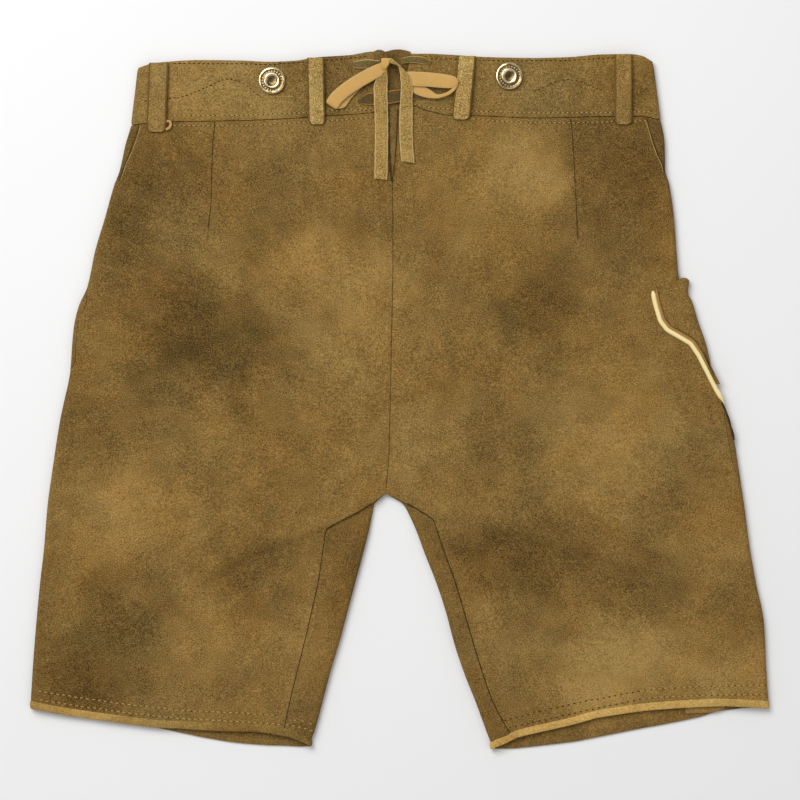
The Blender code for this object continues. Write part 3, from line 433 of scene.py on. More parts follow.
# Tab sewn inside the right hem, which shows past the back edge of the mouth.
HEM_TAB_THICK = 1.2
HEM_TAB = (
    (228.4, -245.4, 2.6, 11.4, 90, 0),
    (240, -244.8, 2.6, 12, 90, 0),
    (251, -244.4, 2.6, 11.6, 90, 0),
    (259.6, -243.4, 2.6, 9, 96, 0),
)

SUSPENDER_BUTTON = (
    (2.6, 0), (2.6, 1.4), (9.2, 1.5), (10.4, 1.9), (10.8, 2.6), (10.4, 3.3), (9.4, 3.6),
    (8.2, 3.3), (6.6, 3.4), (6.2, 3.9), (5.4, 4.1), (4.4, 3.8), (3.4, 3.3), (1.6, 3.1),
)
FLAP_BUTTON = (
    (7.4, 0), (8.3, 0.3), (8.5, 1), (8.3, 1.7), (7.4, FLAP_BUTTON_THICK), (4, 1.9), (3, 1.5),
)


# ---------------------------------------------------------------- relief of the leather

# Soft creases: points, rise (a trough where negative) and half width.
CREASES = (
    (((-20, -82), (-45, -92), (-59, -99), (-88, -107), (-120, -118), (-157, -141)), 1.9, 5.5),
    (((-62, -108), (-90, -117), (-122, -129), (-152, -150)), -0.8, 4.5),
    (((8, -82), (32, -88), (61, -95), (108, -106), (153, -119), (196, -132)), 1.9, 5.5),
    (((30, -99), (61, -106), (108, -117), (153, -130), (196, -142)), -0.8, 4.5),
    (((-14, -66), (-34, -58), (-60, -56), (-96, -62)), 0.35, 13.0),
    (((-6, -64), (16, -55), (48, -52), (86, -60)), 0.35, 14.0),
    (((-40, 60), (-92, 42), (-150, 34), (-206, 40)), 0.4, 24.0),
    (((-70, -20), (-120, -30), (-188, -22), (-240, -34)), 0.35, 22.0),
    (((36, 92), (88, 70), (150, 64), (206, 78)), 0.4, 24.0),
    (((44, 4), (104, -12), (172, -8), (228, -22)), 0.4, 26.0),
    (((-210, -150), (-160, -170), (-104, -176)), 0.35, 22.0),
    (((96, -166), (156, -178), (236, -168)), 0.4, 24.0),
    (((-250, -206), (-204, -214), (-146, -212)), 0.3, 14.0),
    (((-6.4, 168), (-6, 100), (-6.6, 40), (-8, -30), (-10, -70)), -0.45, 2.6),
    (((-148, 216), (-150.4, 168), (-151, 140), (-154.4, 128)), -0.5, 2.6),
    (((136.5, 220), (138.9, 184), (141, 150), (142.4, 128)), -0.5, 2.6),
    (((-288, -233), (-254, -238.6), (-218, -243.6), (-176, -248.4), (-102, -252)), -0.3, 1.8),
    (((-287, -241), (-258, -244.8), (-217, -250), (-176, -255), (-97, -259.6)), -0.3, 1.8),
    (((84, -256.4), (116, -248.3), (146, -241.4), (191, -233.2), (241, -229.3), (290, -228)),
     -0.3, 1.8),
    (((88, -263), (121, -254.9), (146, -249.1), (192, -239.4), (241, -236.6), (290, -235.4)),
     -0.3, 1.8),
)

# Long uneven waves of the hide: direction in degrees, wavelength, start and height.
WAVES = ((24, 118, 0.4, 0.16), (101, 76, 1.9, 0.12), (63, 47, 3.1, 0.08), (152, 61, 5.0, 0.09),
         (8, 33, 2.2, 0.05))

GRID = 2.7  # spacing of the fine shells that show
HIDDEN_GRID = 5.5  # spacing of the shells that lie face down


def relief(x, y):
    """How far the hide stands off its plain form."""
    x, y = np.broadcast_arrays(np.asarray(x, float), np.asarray(y, float))
    rise = np.zeros(x.shape)
    for path, tall, wide in CREASES:
        rise += tall * np.exp(-((to_path(x, y, path) / wide) ** 2))
    for aim, length, start, tall in WAVES:
        a = math.radians(aim)
        along = x * math.cos(a) + y * math.sin(a)
        across = x * math.sin(a) - y * math.cos(a)
        rise += tall * np.sin(2 * math.pi * along / length + start + 1.3 * np.sin(across / 70))
    return rise


def calm_height(side, x, y):
    """Top of the back panels with the hide's relief, which fades at the folds."""
    x = np.asarray(x, float)
    edge = np.exp(-np.maximum(side * (side_x(side, y) - x) - FOLD / 2, 0) / 8.0)
    leg = ease((CROTCH[1] - np.asarray(y, float)) / 6.0)
    inner = leg * np.exp(-np.maximum(side * (x - inside_x(side, y)), 0) / 5.0)
    return height(side, x, y) + relief(x, y) * (1 - edge) * (1 - inner)


def top_at(x, y):
    """Top of the garment's back at a point, for what is sewn on it."""
    seam = smooth(CENTRE["y"], CENTRE[LEFT], y)
    left = calm_height(LEFT, x, y)
    return np.where(np.asarray(x) < seam, left, calm_height(RIGHT, x, y))


# ---------------------------------------------------------------- meshes

def pocket_top(x, y):
    """Height of the knife pocket's face."""
    return float(top_at(x, y)) + SEAM + POCKET_THICK


def inseam_top(x, y):
    """Height of the upper face just beside an inseam."""
    side = LEFT if x < CROTCH[0] else RIGHT
    z = calm_height(side, np.array([x]), np.array([y]))
    return float(z[0]) - float(fine_roll(side, np.array([x]), y, len(ROWS) - 1.0)[0])


def finish_mesh(name, points, polygons, material, nodes, smooth_shade=True):
    """Puts a closed mesh in the scene as one piece that rides on the garment."""
    mesh = bpy.data.meshes.new(name)
    mesh.from_pydata((np.asarray(points) * MM).tolist(), [], polygons)
    shape = bmesh.new()
    shape.from_mesh(mesh)
    bmesh.ops.recalc_face_normals(shape, faces=shape.faces)
    if shape.calc_volume(signed=True) < 0:
        bmesh.ops.reverse_faces(shape, faces=shape.faces)
    for face in shape.faces:
        face.smooth = smooth_shade
    for edge in shape.edges:
        if len(edge.link_faces) == 2 and edge.calc_face_angle(0.0) > math.radians(50):
            edge.smooth = False
    shape.to_mesh(mesh)
    shape.free()
    mesh.materials.append(material)
    piece = bpy.data.objects.new(name, mesh)
    bpy.context.scene.collection.objects.link(piece)
    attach(piece, "root")
    if nodes:
        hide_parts(*nodes)
    return piece


def shell(name, outer, inner, faces, material, nodes):
    """A closed shell between the outer and the inner copy of a sheet."""
    count = len(outer)
    rim = {}
    polygons = []
    for face in faces:
        polygons.append(tuple(face))
        polygons.append(tuple(count + corner for corner in reversed(face)))
        for a, b in zip(face, face[1:] + face[:1]):
            if rim.pop((b, a), None) is None:
                rim[(a, b)] = True
    for a, b in rim:
        polygons.append((b, a, a + count, b + count))
    return finish_mesh(name, np.vstack([outer, inner]), polygons, material, nodes)


def row_stations(spacing):
    """Stations down the body, counted in rows, close enough for a given spacing."""
    drop = np.abs(np.diff([(a + b) / 2 for a, b in ROWS]))
    stations = []
    for row, gap in enumerate(drop):
        stations.extend(row + np.arange(0, 1, 1 / max(2, round(gap / spacing))))
    return np.array(stations + [len(ROWS) - 1.0])


def row_ends(row):
    """Heights of a row's outer and inner end, between the listed rows too."""
    index = np.arange(len(ROWS))
    ends = np.array(ROWS, float)
    return float(np.interp(row, index, ends[:, 0])), float(np.interp(row, index, ends[:, 1]))


def fine_row_y(side, row, x, layer, drop=0.0):
    """row_y for a row that may lie between two listed ones."""
    if row < 1:
        below = fine_row_y(side, 1.0, x, layer)
        return (waist_y(x) - WAIST_SEAM) * (1 - row) + below * row
    outer_y, inner_y = row_ends(row)
    outer = side_x(side, outer_y)
    if row <= CROTCH_ROW:
        inner = smooth(CENTRE["y"], CENTRE[side], inner_y)
    else:
        inner = inside_x(side, inner_y)
    across = np.clip((x - outer) / (inner - outer), 0, 1)
    hem = HEMS[side]
    sag = row_weight(row) * smooth(hem["across"], hem[layer], across)
    return outer_y + (inner_y - outer_y) * across - sag - drop


def fine_inner_end(side, row):
    y = row_ends(row)[1]
    if row <= CROTCH_ROW:
        return float(smooth(CENTRE["y"], CENTRE[side], y))
    for _ in range(6):
        x = float(smooth(INSEAMS["y"], INSEAMS[side], y))
        y = float(fine_row_y(side, row, x, "back"))
    return x


def fine_roll(side, x, y, row):
    """How far the top drops where it rolls over the inner leg."""
    if row <= CROTCH_ROW:
        return np.zeros_like(x)
    half = inside_height(y) / 2
    off = np.clip(side * (x - inside_x(side, y)), 0, half)
    return half - np.sqrt(np.maximum(half ** 2 - (half - off) ** 2, 0))


def fine_back(side, name, material):
    """Back panel with its creases, from the side seam to the centre seam and inseam."""
    stations = row_stations(GRID)
    columns = (10, 104)
    radius = FOLD / 2
    sheets = ([], [])
    for row in stations:
        outer_y = row_ends(row)[0]
        start = float(seam_reach(side, outer_y)) + SEAM / 2
        edge = float(side_x(side, outer_y))
        bend = np.linspace(start, start + 8.0, columns[0])
        end_x = fine_inner_end(side, row) + side * SEAM / 2
        for offset, sheet in ((0.0, sheets[0]), (-LEATHER, sheets[1])):
            fold = around(side, edge, bend, outer_y, radius, offset)
            if row < 1:
                fold[:, 1] = fine_row_y(side, row, fold[:, 0], "back")
            x = fold[-1, 0] + (end_x - fold[-1, 0]) * np.linspace(0, 1, columns[1] + 1)[1:]
            y = fine_row_y(side, row, x, "back")
            z = calm_height(side, x, y) + offset - fine_roll(side, x, y, row)
            sheet.append(np.vstack([fold, np.stack([x, y, z], axis=1)]))
    faces = faces_of(len(stations), sum(columns))
    return shell("leather_" + name, np.vstack(sheets[0]), np.vstack(sheets[1]), faces, material,
                 [name])


def front_inner(side, row):
    """End of a front row: on the flap's side, along its foot, then on the centre seam."""
    corner_y = FLAP_BOTTOM + FLAP_ROUND
    foot_row = float(FOOT_ROW)
    y = row_ends(row)[1]
    if row < foot_row - 1:
        return float(flap_side(side, max(y, corner_y))), max(y, corner_y)
    side_end = float(flap_side(side, corner_y))
    if row < foot_row:
        part = row - (foot_row - 1)
        return side_end - side * FLAP_ROUND * part, corner_y - FLAP_ROUND * part
    if row < foot_row + 1:
        part = row - foot_row
        centre = float(smooth(CENTRE["y"], CENTRE[side], FLAP_BOTTOM))
        corner = side_end - side * FLAP_ROUND
        return corner + (centre - corner) * part, FLAP_BOTTOM - 0.15
    return float(smooth(CENTRE["y"], CENTRE[side], y)), min(y, FLAP_BOTTOM - 0.15)


def fine_front(side, name, material):
    """Front panel, face down, with the strip of it that turns up over the inner leg."""
    stations = row_stations(HIDDEN_GRID)
    first_strip = int(np.searchsorted(stations, CROTCH_ROW + 0.99))
    crotch_index = int(np.searchsorted(stations, CROTCH_ROW))
    stations = np.concatenate([stations[:crotch_index + 1], stations[first_strip:]])
    columns, strip = (9, 50), (9, 4)
    across, width = sum(columns), sum(strip)
    radius = FOLD / 2
    sheets = []
    for offset in (0.0, -LEATHER):
        flat, over = [], []
        for row in stations:
            outer_y, inner_y = row_ends(row)
            start = float(seam_reach(side, outer_y)) - SEAM / 2
            edge = float(side_x(side, outer_y))
            fold = around(side, edge, np.linspace(start, -6.4, columns[0]), outer_y, radius, offset)
            if row < 1:
                fold[:, 1] = fine_row_y(side, row, fold[:, 0], "front")
            part = np.linspace(0, 1, columns[1] + 1)[1:]
            if row <= CROTCH_ROW:
                end_x, end_y = front_inner(side, row)
                end_x += side * SEAM / 2
            else:
                end_x = float(inside_x(side, inner_y)) + side * (inside_height(inner_y) / 2 + 0.8)
            x = fold[-1, 0] + (end_x - fold[-1, 0]) * part
            if row < 1:
                y = fine_row_y(side, row, x, "front")
            elif row <= CROTCH_ROW:
                dip = 0.6 * np.sin(math.pi * part) * (abs(row - FOOT_ROW) < 1.5)
                y = outer_y + (end_y - outer_y) * part - dip
            else:
                y = fine_row_y(side, row, x, "front")
            flat.append(np.vstack([fold, np.stack([x, y, np.full_like(x, -offset)], axis=1)]))
            if row > CROTCH_ROW:
                over.append(strip_points(side, row, strip, offset))
        sheets.append(np.vstack(flat + over))
    rows = len(stations)
    faces = faces_of(rows, across)
    first = rows * across
    crotch = crotch_index * across + across - 1
    for row in range(crotch_index + 1, rows):
        base = first + (row - crotch_index - 1) * width
        corner = row * across + across - 1
        if row == crotch_index + 1:
            faces.append((crotch, base, corner))
            faces.extend((crotch, base + k + 1, base + k) for k in range(width - 1))
            continue
        faces.append((corner - across, base - width, base, corner))
        for k in range(width - 1):
            faces.append((base - width + k, base - width + k + 1, base + k + 1, base + k))
    return shell("leather_" + name, sheets[0], sheets[1], faces, material, [name])


def strip_points(side, row, columns, offset):
    """Points of one row from under the inner leg round its fold to the inseam on top."""
    y = row_ends(row)[1]
    half = float(inside_height(y)) / 2
    edge = float(inside_x(side, y))
    inset = max(side * (fine_inner_end(side, row) - edge), 0.2)
    last = float(reach_of(inset, half)) - SEAM / 2
    low = -(math.pi * half / 2)
    if last <= math.pi * half / 2 + 0.4:
        reach = np.linspace(low, last, sum(columns))
    else:
        turn = np.linspace(low, math.pi * half / 2, columns[0])
        reach = np.concatenate([turn, np.linspace(turn[-1], last, columns[1] + 1)[1:]])
    points = around(side, edge, reach, y, half, offset, turn=-1)
    layers = [fine_row_y(side, row, points[:, 0], layer) for layer in ("back", "front")]
    points[:, 1] = np.where(reach > 0, *layers)
    return points


def flap_side(side, y):
    """Side edge of the flap, which narrows towards its foot."""
    down = (waist_y(FLAP[side]) - y) / (waist_y(FLAP[side]) - FLAP_BOTTOM)
    return FLAP[side] - side * FLAP_TAPER * down


def flap_buttons():
    """Centres of the buttons at the flap's upper corners."""
    centres = []
    for side in (LEFT, RIGHT):
        x = FLAP[side] - side * FLAP_BUTTON_INSET
        centres.append((x, float(waist_y(x)) - FLAP_BUTTON_INSET))
    return centres


def fine_flap(material):
    """Drop front, face down, dished over its two buttons."""
    across = np.linspace(0, 1, 60)
    tall = float(waist_y(0.0)) - FLAP_BOTTOM
    outer, inner = [], []
    down = np.linspace(0, 1, 62)
    for part in down:
        level = float(waist_y(0.0)) - part * (tall - FLAP_ROUND)
        left = float(flap_side(LEFT, level)) + 2 * SEAM
        right = float(flap_side(RIGHT, level)) - 2 * SEAM
        x = left + (right - left) * across
        top = waist_y(x) - WAIST_SEAM
        in_from_edge = np.minimum(x - left, right - x)
        foot = FLAP_BOTTOM + FLAP_ROUND * np.clip(1 - in_from_edge / FLAP_ROUND, 0, 1)
        y = top + (foot + 3 * SEAM - top) * part
        rise = np.zeros(len(x))
        for cx, cy in flap_buttons():
            away = np.hypot(x - cx, y - cy)
            rise = np.maximum(rise, FLAP_LIFT * ease((22.0 - away) / 11.0))
        outer.append(np.stack([x, y, rise], axis=1))
        inner.append(np.stack([x, y, rise + LEATHER], axis=1))
    return shell("front_flap_leather", np.vstack(outer), np.vstack(inner),
                 faces_of(len(down), len(across)), material, ["front_flap"])


BAND_FOOT, BAND_HEAD = 222.0, 262.0  # heights of the waistband's corners at the side
STITCH_SINK = 0.45  # how far the leather sinks at a stitched edge of the waistband
BAND_RIM = 0.6  # how far the waistband's edges round off
FRONT_DIP = 5.0  # how much lower the waistband's top lies at the front


def band_edge(side, up):
    """Outermost x of the waistband at a part of its height."""
    low = side_x(side, BAND_FOOT)
    high = side_x(side, BAND_HEAD)
    return low + (high - low) * up


def band_puff(x, up):
    """How far the folded waistband swells between its two stitched edges."""
    rows = -STITCH_SINK * (np.exp(-(((up - 0.09) / 0.035) ** 2)) + np.exp(-(((up - 0.93) / 0.03) ** 2)))
    swell = 0.35 * np.sin(math.pi * np.clip(up, 0, 1)) + 0.16 * np.sin(x / 9.0 + 3 * up)
    return rows + swell


def band_top(x, y):
    """Top of the waistband at a point."""
    low = smooth(BANDS["x"], BANDS["bottom"], x)
    high = smooth(BANDS["x"], BANDS["top"], x)
    return BAND_TOP + band_puff(x, (y - low) / (high - low))


def fine_waistband(side, name, material):
    """One half of the waistband, with rolled edges and puckered stitch lines."""
    ups = np.concatenate([(0, 0.02, 0.05), np.linspace(0.075, 0.925, 21), (0.95, 0.98, 1)])
    radius = BAND_TOP / 2
    quarter = math.pi * radius / 2
    outer, inner = [], []
    for up in ups:
        edge = float(band_edge(side, up))
        lace_end = BAND_ENDS[side][0] + (BAND_ENDS[side][1] - BAND_ENDS[side][0]) * up
        back = (edge - side * radius - lace_end) * side
        front = (edge - side * radius - CLOSING_X - side * SEAM / 2) * side
        reach = np.concatenate([np.linspace(quarter + back, quarter, 84),
                                np.linspace(quarter, -quarter, 16)[1:-1],
                                np.linspace(-quarter, -quarter - front, 60)])
        rim = BAND_RIM * math.exp(-((min(up, 1 - up) * 46 / 1.3) ** 2))
        for offset, sheet in ((-rim, outer), (-BAND + rim, inner)):
            wide = radius + offset
            angle = np.clip(reach / radius, -math.pi / 2, math.pi / 2)
            past = np.maximum(np.abs(reach) - quarter, 0)
            x = edge - side * radius + side * wide * np.cos(angle) - side * past
            z = radius + wide * np.sin(angle)
            shown = ease((reach - quarter) / 8.0)
            if sheet is outer:
                z = z + shown * band_puff(x, up)
            low = smooth(BANDS["x"], BANDS["bottom"], x)
            high = smooth(BANDS["x"], BANDS["top"], x)
            dip = np.where(reach < 0, FRONT_DIP * ease((-reach - quarter) / 60.0), 0.0)
            sheet.append(np.stack([x, low + (high - dip - low) * up, z], axis=1))
    return shell("leather_" + name, np.vstack(outer), np.vstack(inner),
                 faces_of(len(ups), len(reach)), material, [name])


GUSSET = {
    "y": (279.5, 273, 262, 248, 236, 216, 200, 188),
    "edge": (6.4, 6.0, 4.6, 4.2, 4.8, 5.0, 5.0, 4.9),
    "small": (1.8, 1.2, 0, 0, 0.4, 0.2, 0.2, 0),
    "large": (3.4, 2.4, 0.4, 0, 0.4, 0.2, 0.2, 0),
}
GUSSET_THICK = 1.2
GUSSET_TOP, GUSSET_FOOT = 279.5, 179.5
SMALL_FOLD = 0.32  # part of the gusset's width that its small fold takes


def slit_x(side, y):
    """Edge of the opening behind the lacing."""
    bottom_x, top_x = BAND_ENDS[side]
    low = float(waist_y(bottom_x))
    high = float(smooth(BANDS["x"], BANDS["top"], top_x))
    if y < low:
        return float(smooth(CENTRE["y"], CENTRE[side], y))
    return bottom_x + (top_x - bottom_x) * min((y - low) / (high - low), 1.0)


def fine_gusset(material):
    """Gusset behind the lacing, gathered into a small and a large fold."""
    across = np.linspace(0, 1, 34)
    small = np.where(across <= SMALL_FOLD, np.sin(np.pi * across / SMALL_FOLD), 0.0)
    large = np.where(across > SMALL_FOLD, np.sin(np.pi * (across - SMALL_FOLD) / 0.68), 0.0)
    levels = np.linspace(GUSSET_TOP, GUSSET_FOOT, 72)
    outer = []
    for y in levels:
        left, right = slit_x(LEFT, y), slit_x(RIGHT, y)
        inset = min(0.1, 0.3 * (right - left))
        x = left + inset + (right - left - 2 * inset) * across
        edge, low, tall = (float(smooth(GUSSET["y"], GUSSET[k], y))
                           for k in ("edge", "small", "large"))
        z = edge + low * small + tall * large
        row = y + 1.6 * (small + large) * ease((y - 262.0) / 12.0) - 1.0
        outer.append(np.stack([x, row, z], axis=1))
    outer = np.vstack(outer)
    inner = outer - np.array((0, 0, GUSSET_THICK))
    return shell("gusset_leather", outer, inner, faces_of(len(levels), len(across)), material,
                 ["back_gusset"])


def fine_binding(side, name, material, mouth_shade_material):
    """Hem binding, one rolled ring round the mouth of the leg."""
    last = float(len(ROWS) - 1)
    outer_y, inner_y = row_ends(last)
    radius = FOLD / 2
    start = float(side_x(side, outer_y))
    end = float(inside_x(side, inner_y))
    flat = np.linspace(start - side * radius, end + side * radius, 96)
    turn = np.linspace(-math.pi / 2, math.pi / 2, 12)[1:-1]
    steps = (0, 0.1, 0.3, 0.55, 0.8, 0.93, 1)
    outer, inner = [], []
    for step in steps:
        drop = HEM_SEAM - BINDING_OVERLAP + (BINDING + BINDING_SPARE) * step
        rim = 0.5 * (2 * abs(step - 0.5)) ** 4
        for offset, sheet in ((BINDING_EXTRA + 0.2 - rim, outer), (-LEATHER + rim * 0.6, inner)):
            wide = radius + offset
            down_x = end + side * radius - side * wide * np.cos(turn)
            up_x = start - side * radius + side * wide * np.cos(turn)
            x = np.concatenate([flat, down_x, flat[::-1], up_x])
            back = fine_row_y(side, last, x, "back", drop)
            front = fine_row_y(side, last, x, "front", drop)
            y = np.where(np.arange(len(x)) < len(flat), back, front)
            over_z = calm_height(side, flat, back[:len(flat)]) + offset
            over_z[0] = over_z[-1] = 2 * radius + offset
            under_z = np.full(len(flat), max(-offset, 0.0))
            curl_z = wide * np.sin(turn)
            z = np.concatenate([over_z, radius - curl_z, under_z, radius + curl_z])
            sheet.append(np.stack([x, y, np.maximum(z, 0.0)], axis=1))
    faces = faces_of(len(steps), len(outer[0]), ring=True)
    piece = shell("leather_" + name, np.vstack(outer), np.vstack(inner), faces, material,
                  [name])
    # Faces low down, under and inside the mouth of the leg, take a darker suede: painted shade.
    piece.data.materials.append(mouth_shade_material)
    for face in piece.data.polygons:
        face.material_index = int(face.center.z < 3.0 * MM)
    return piece


# ---------------------------------------------------------------- knife pocket

def pocket_path(count, tail=()):
    """Rear edge of the pocket and its normal towards the pocket, with the side's row values."""
    rows = np.array(KNIFE_POCKET + tail, float)
    away = np.concatenate([[0], np.cumsum(np.hypot(*np.diff(rows[:, :2], axis=0).T))])
    at = np.linspace(0, away[-1], count)
    x, y, side_y = (np.interp(at, away, rows[:, k]) for k in range(3))
    for _ in range(2):
        x[1:-1] = (x[:-2] + 2 * x[1:-1] + x[2:]) / 4
        y[1:-1] = (y[:-2] + 2 * y[1:-1] + y[2:]) / 4
    tx, ty = np.gradient(x), np.gradient(y)
    size = np.hypot(tx, ty)
    return x, y, side_y, -ty / size, tx / size


def pocket_ground(x, y):
    limit = side_x(RIGHT, y) - FOLD / 2
    return height(RIGHT, np.minimum(x, limit), y)


def pocket_bead(name, rear, width, tall, ends, stop, material, node):
    """Piping or welt: a rounded strip that follows the pocket's rear edge and tapers away."""
    x, y, _, nx, ny = (v[:stop] for v in pocket_path(120, (PIPING_TAIL,)))
    part = np.linspace(0, 1, 9)
    away = np.linspace(0, 1, len(x))
    begin, finish = ends
    share = np.sqrt(np.clip((away + 0.004) / begin, 0.02, 1)) * ease((1.004 - away) / finish)
    share = np.maximum(share, 0.08)
    outer, inner = [], []
    for p in part:
        reach = rear + width * (0.5 + (p - 0.5) * share)
        px, py = x + nx * reach, y + ny * reach
        ground = pocket_ground(px, py) + SEAM
        arch = tall * share * (0.35 + 0.65 * math.sqrt(max(1 - (2 * p - 1) ** 2, 0)))
        outer.append(np.stack([px, py, ground + arch], axis=1))
        inner.append(np.stack([px, py, ground], axis=1))
    return shell(name, np.vstack(outer), np.vstack(inner), faces_of(len(part), len(x)), material,
                 [node])


def fine_pocket(material):
    """Pocket panel from the welt round the side fold, gaping a little at its mouth."""
    x, y, side_y, nx, ny = pocket_path(90)
    gape = np.interp(side_y, POCKET_GAPE["y"], POCKET_GAPE["gape"])
    radius = FOLD / 2
    rear = PIPING_WIDE + WELT_WIDE - POCKET_UNDERLAP
    sheets = ([], [])
    rows, columns = 80, 40
    for k in range(rows):
        edge = float(side_x(RIGHT, side_y[k])) - POCKET_NARROWING * ease((k - 56) / 23.0)
        lean = GAPE_LEAN * gape[k]
        start = x[k] + nx[k] * rear
        start_y = y[k] + ny[k] * rear
        last_x = edge - radius + lean
        flat = max(last_x - start, 0.0)
        over = (start - edge + radius) / (radius + SEAM)
        first = math.pi / 2 if flat > 0 else math.acos(min(max(over, 0.0), 0.95))
        arc = (first + POCKET_TUCK) * radius * (1 - POCKET_TAPER * ease((k - 62) / 16.0))
        way = np.linspace(0, flat + arc, columns)
        for lift, sheet in ((SEAM + POCKET_THICK, sheets[0]), (SEAM, sheets[1])):
            angle = first - np.maximum(way - flat, 0) / radius
            on_flat = way <= flat
            px = np.where(on_flat, start + way,
                          edge - radius + lean + (radius + lift) * np.cos(angle))
            py = start_y + (side_y[k] - start_y) * np.clip((px - start) / max(edge - start, 1), 0, 1.15)
            flat_z = height(RIGHT, np.minimum(px, edge - radius), py) + lift
            pz = np.where(on_flat, flat_z, radius + (radius + lift) * np.sin(angle))
            sheet.append(np.stack([px, py, np.maximum(pz, 0.1)], axis=1))
    return shell("knife_pocket_panel", np.vstack(sheets[0]), np.vstack(sheets[1]),
                 faces_of(rows, columns), material, ["knife_pocket"])


# ---------------------------------------------------------------- straps, laces and buttons

def strap(name, path, thick, material, nodes, crown=0.25, rows=64, ripple=0.0,
          edge_material=None):
    """A flat strap along a path of rows, with rounded edges and a slightly crowned face."""
    table = np.array(path, float)
    index = np.arange(len(table))
    at = np.linspace(0, len(table) - 1, rows)
    fine = np.stack([smooth(index, table[:, k], at) for k in range(6)], axis=1)
    centre = fine[:, :3]
    half = fine[:, 3] / 2
    aim, tilt = np.radians(fine[:, 4]), np.radians(fine[:, 5])
    wide = np.stack([np.cos(aim) * np.cos(tilt), np.sin(aim) * np.cos(tilt), np.sin(tilt)], axis=1)
    along = np.gradient(centre, axis=0)
    up = np.cross(along, wide)
    up /= np.linalg.norm(up, axis=1)[:, None]
    lean = np.linspace(-1, 1, 13)
    edge = np.sqrt(np.clip(1 - lean ** 6, 0, 1))
    ring = [(a, 0.5 * (0.35 + 0.65 * e) + crown * (1 - a * a)) for a, e in zip(lean, edge)]
    ring += [(a, -0.5 * (0.35 + 0.65 * e)) for a, e in zip(lean[::-1], edge[::-1])]
    points = []
    for k in range(rows):
        wobble = 1 + ripple * math.sin(k * 0.7) * math.sin(k * 0.23 + 1)
        for a, b in ring:
            points.append(centre[k] + wide[k] * half[k] * a * wobble + up[k] * thick * b)
    count = len(ring)
    polygons = [tuple(range(count))[::-1]]
    polygons += faces_of(rows, count, ring=True)
    polygons.append(tuple((rows - 1) * count + k for k in range(count)))
    piece = finish_mesh(name, points, polygons, material, nodes)
    if edge_material:
        piece.data.materials.append(edge_material)
        cut = {0, len(lean) - 2, len(lean) - 1, len(lean), count - 2, count - 1}
        for face in piece.data.polygons:
            inside = 0 < face.index < len(polygons) - 1
            if not inside or (face.index - 1) % count in cut:
                face.material_index = 1
    return piece


def belt_loop_path(top_x, bottom_x, bottom_y, width):
    """Rows of a belt loop, which stands clear of the waistband between its sewn ends."""
    top_y = float(smooth(BANDS["x"], BANDS["top"], top_x)) - 0.5
    ground = BAND_TOP + SEAM + LOOP_THICK / 2
    profile = ((0, 0.2, 0.97), (0.07, 0.9, 1), (0.2, 1.9, 1), (0.4, 2.5, 0.99), (0.65, 2.6, 0.98),
               (0.85, 1.9, 1), (0.94, 1.0, 0.98), (0.985, 0.4, 0.86), (1, 0.2, 0.6))
    rows = []
    for part, rise, share in profile:
        rows.append((top_x + (bottom_x - top_x) * part, top_y + (bottom_y - top_y) * part,
                     ground + rise, width * share, 180, 0))
    return rows


RIBBED = (6.9, 9.2)  # radii between which a brace button is ribbed


def turned(name, x, y, z, profile, material, node, steps=96, ribs=0):
    """A round button from a profile of radius and height, from its underside to its middle."""
    index = np.arange(len(profile))
    at = np.linspace(0, len(profile) - 1, 6 * len(profile))
    radii = np.interp(at, index, [p[0] for p in profile])
    rises = np.interp(at, index, [p[1] for p in profile])
    for _ in range(3):
        radii[1:-1] = (radii[:-2] + 2 * radii[1:-1] + radii[2:]) / 4
        rises[1:-1] = (rises[:-2] + 2 * rises[1:-1] + rises[2:]) / 4
    points = []
    for k, (radius, rise) in enumerate(zip(radii, rises)):
        shown = ribs and k > len(radii) / 2 and RIBBED[0] < radius < RIBBED[1]
        for step in range(steps):
            angle = 2 * math.pi * step / steps
            lift = 0.09 * math.sin(ribs * angle) if shown else 0.0
            points.append((x + radius * math.cos(angle), y + radius * math.sin(angle),
                           z + rise + lift))
    polygons = [tuple(range(steps))[::-1]]
    polygons += faces_of(len(radii), steps, ring=True)
    polygons.append(tuple((len(radii) - 1) * steps + k for k in range(steps)))
    return finish_mesh(name, points, polygons, material, [node])


# ---------------------------------------------------------------- seams and stitching

def along_path(path, pitch):
    """Points at an even pitch along a path, each with its direction."""
    p = np.array(path, float)
    away = np.concatenate([[0], np.cumsum(np.hypot(*np.diff(p, axis=0).T))])
    count = max(2, int(away[-1] / pitch) + 1)
    at = np.linspace(0, away[-1], count)
    x, y = np.interp(at, away, p[:, 0]), np.interp(at, away, p[:, 1])
    return x, y, np.arctan2(np.gradient(y), np.gradient(x))


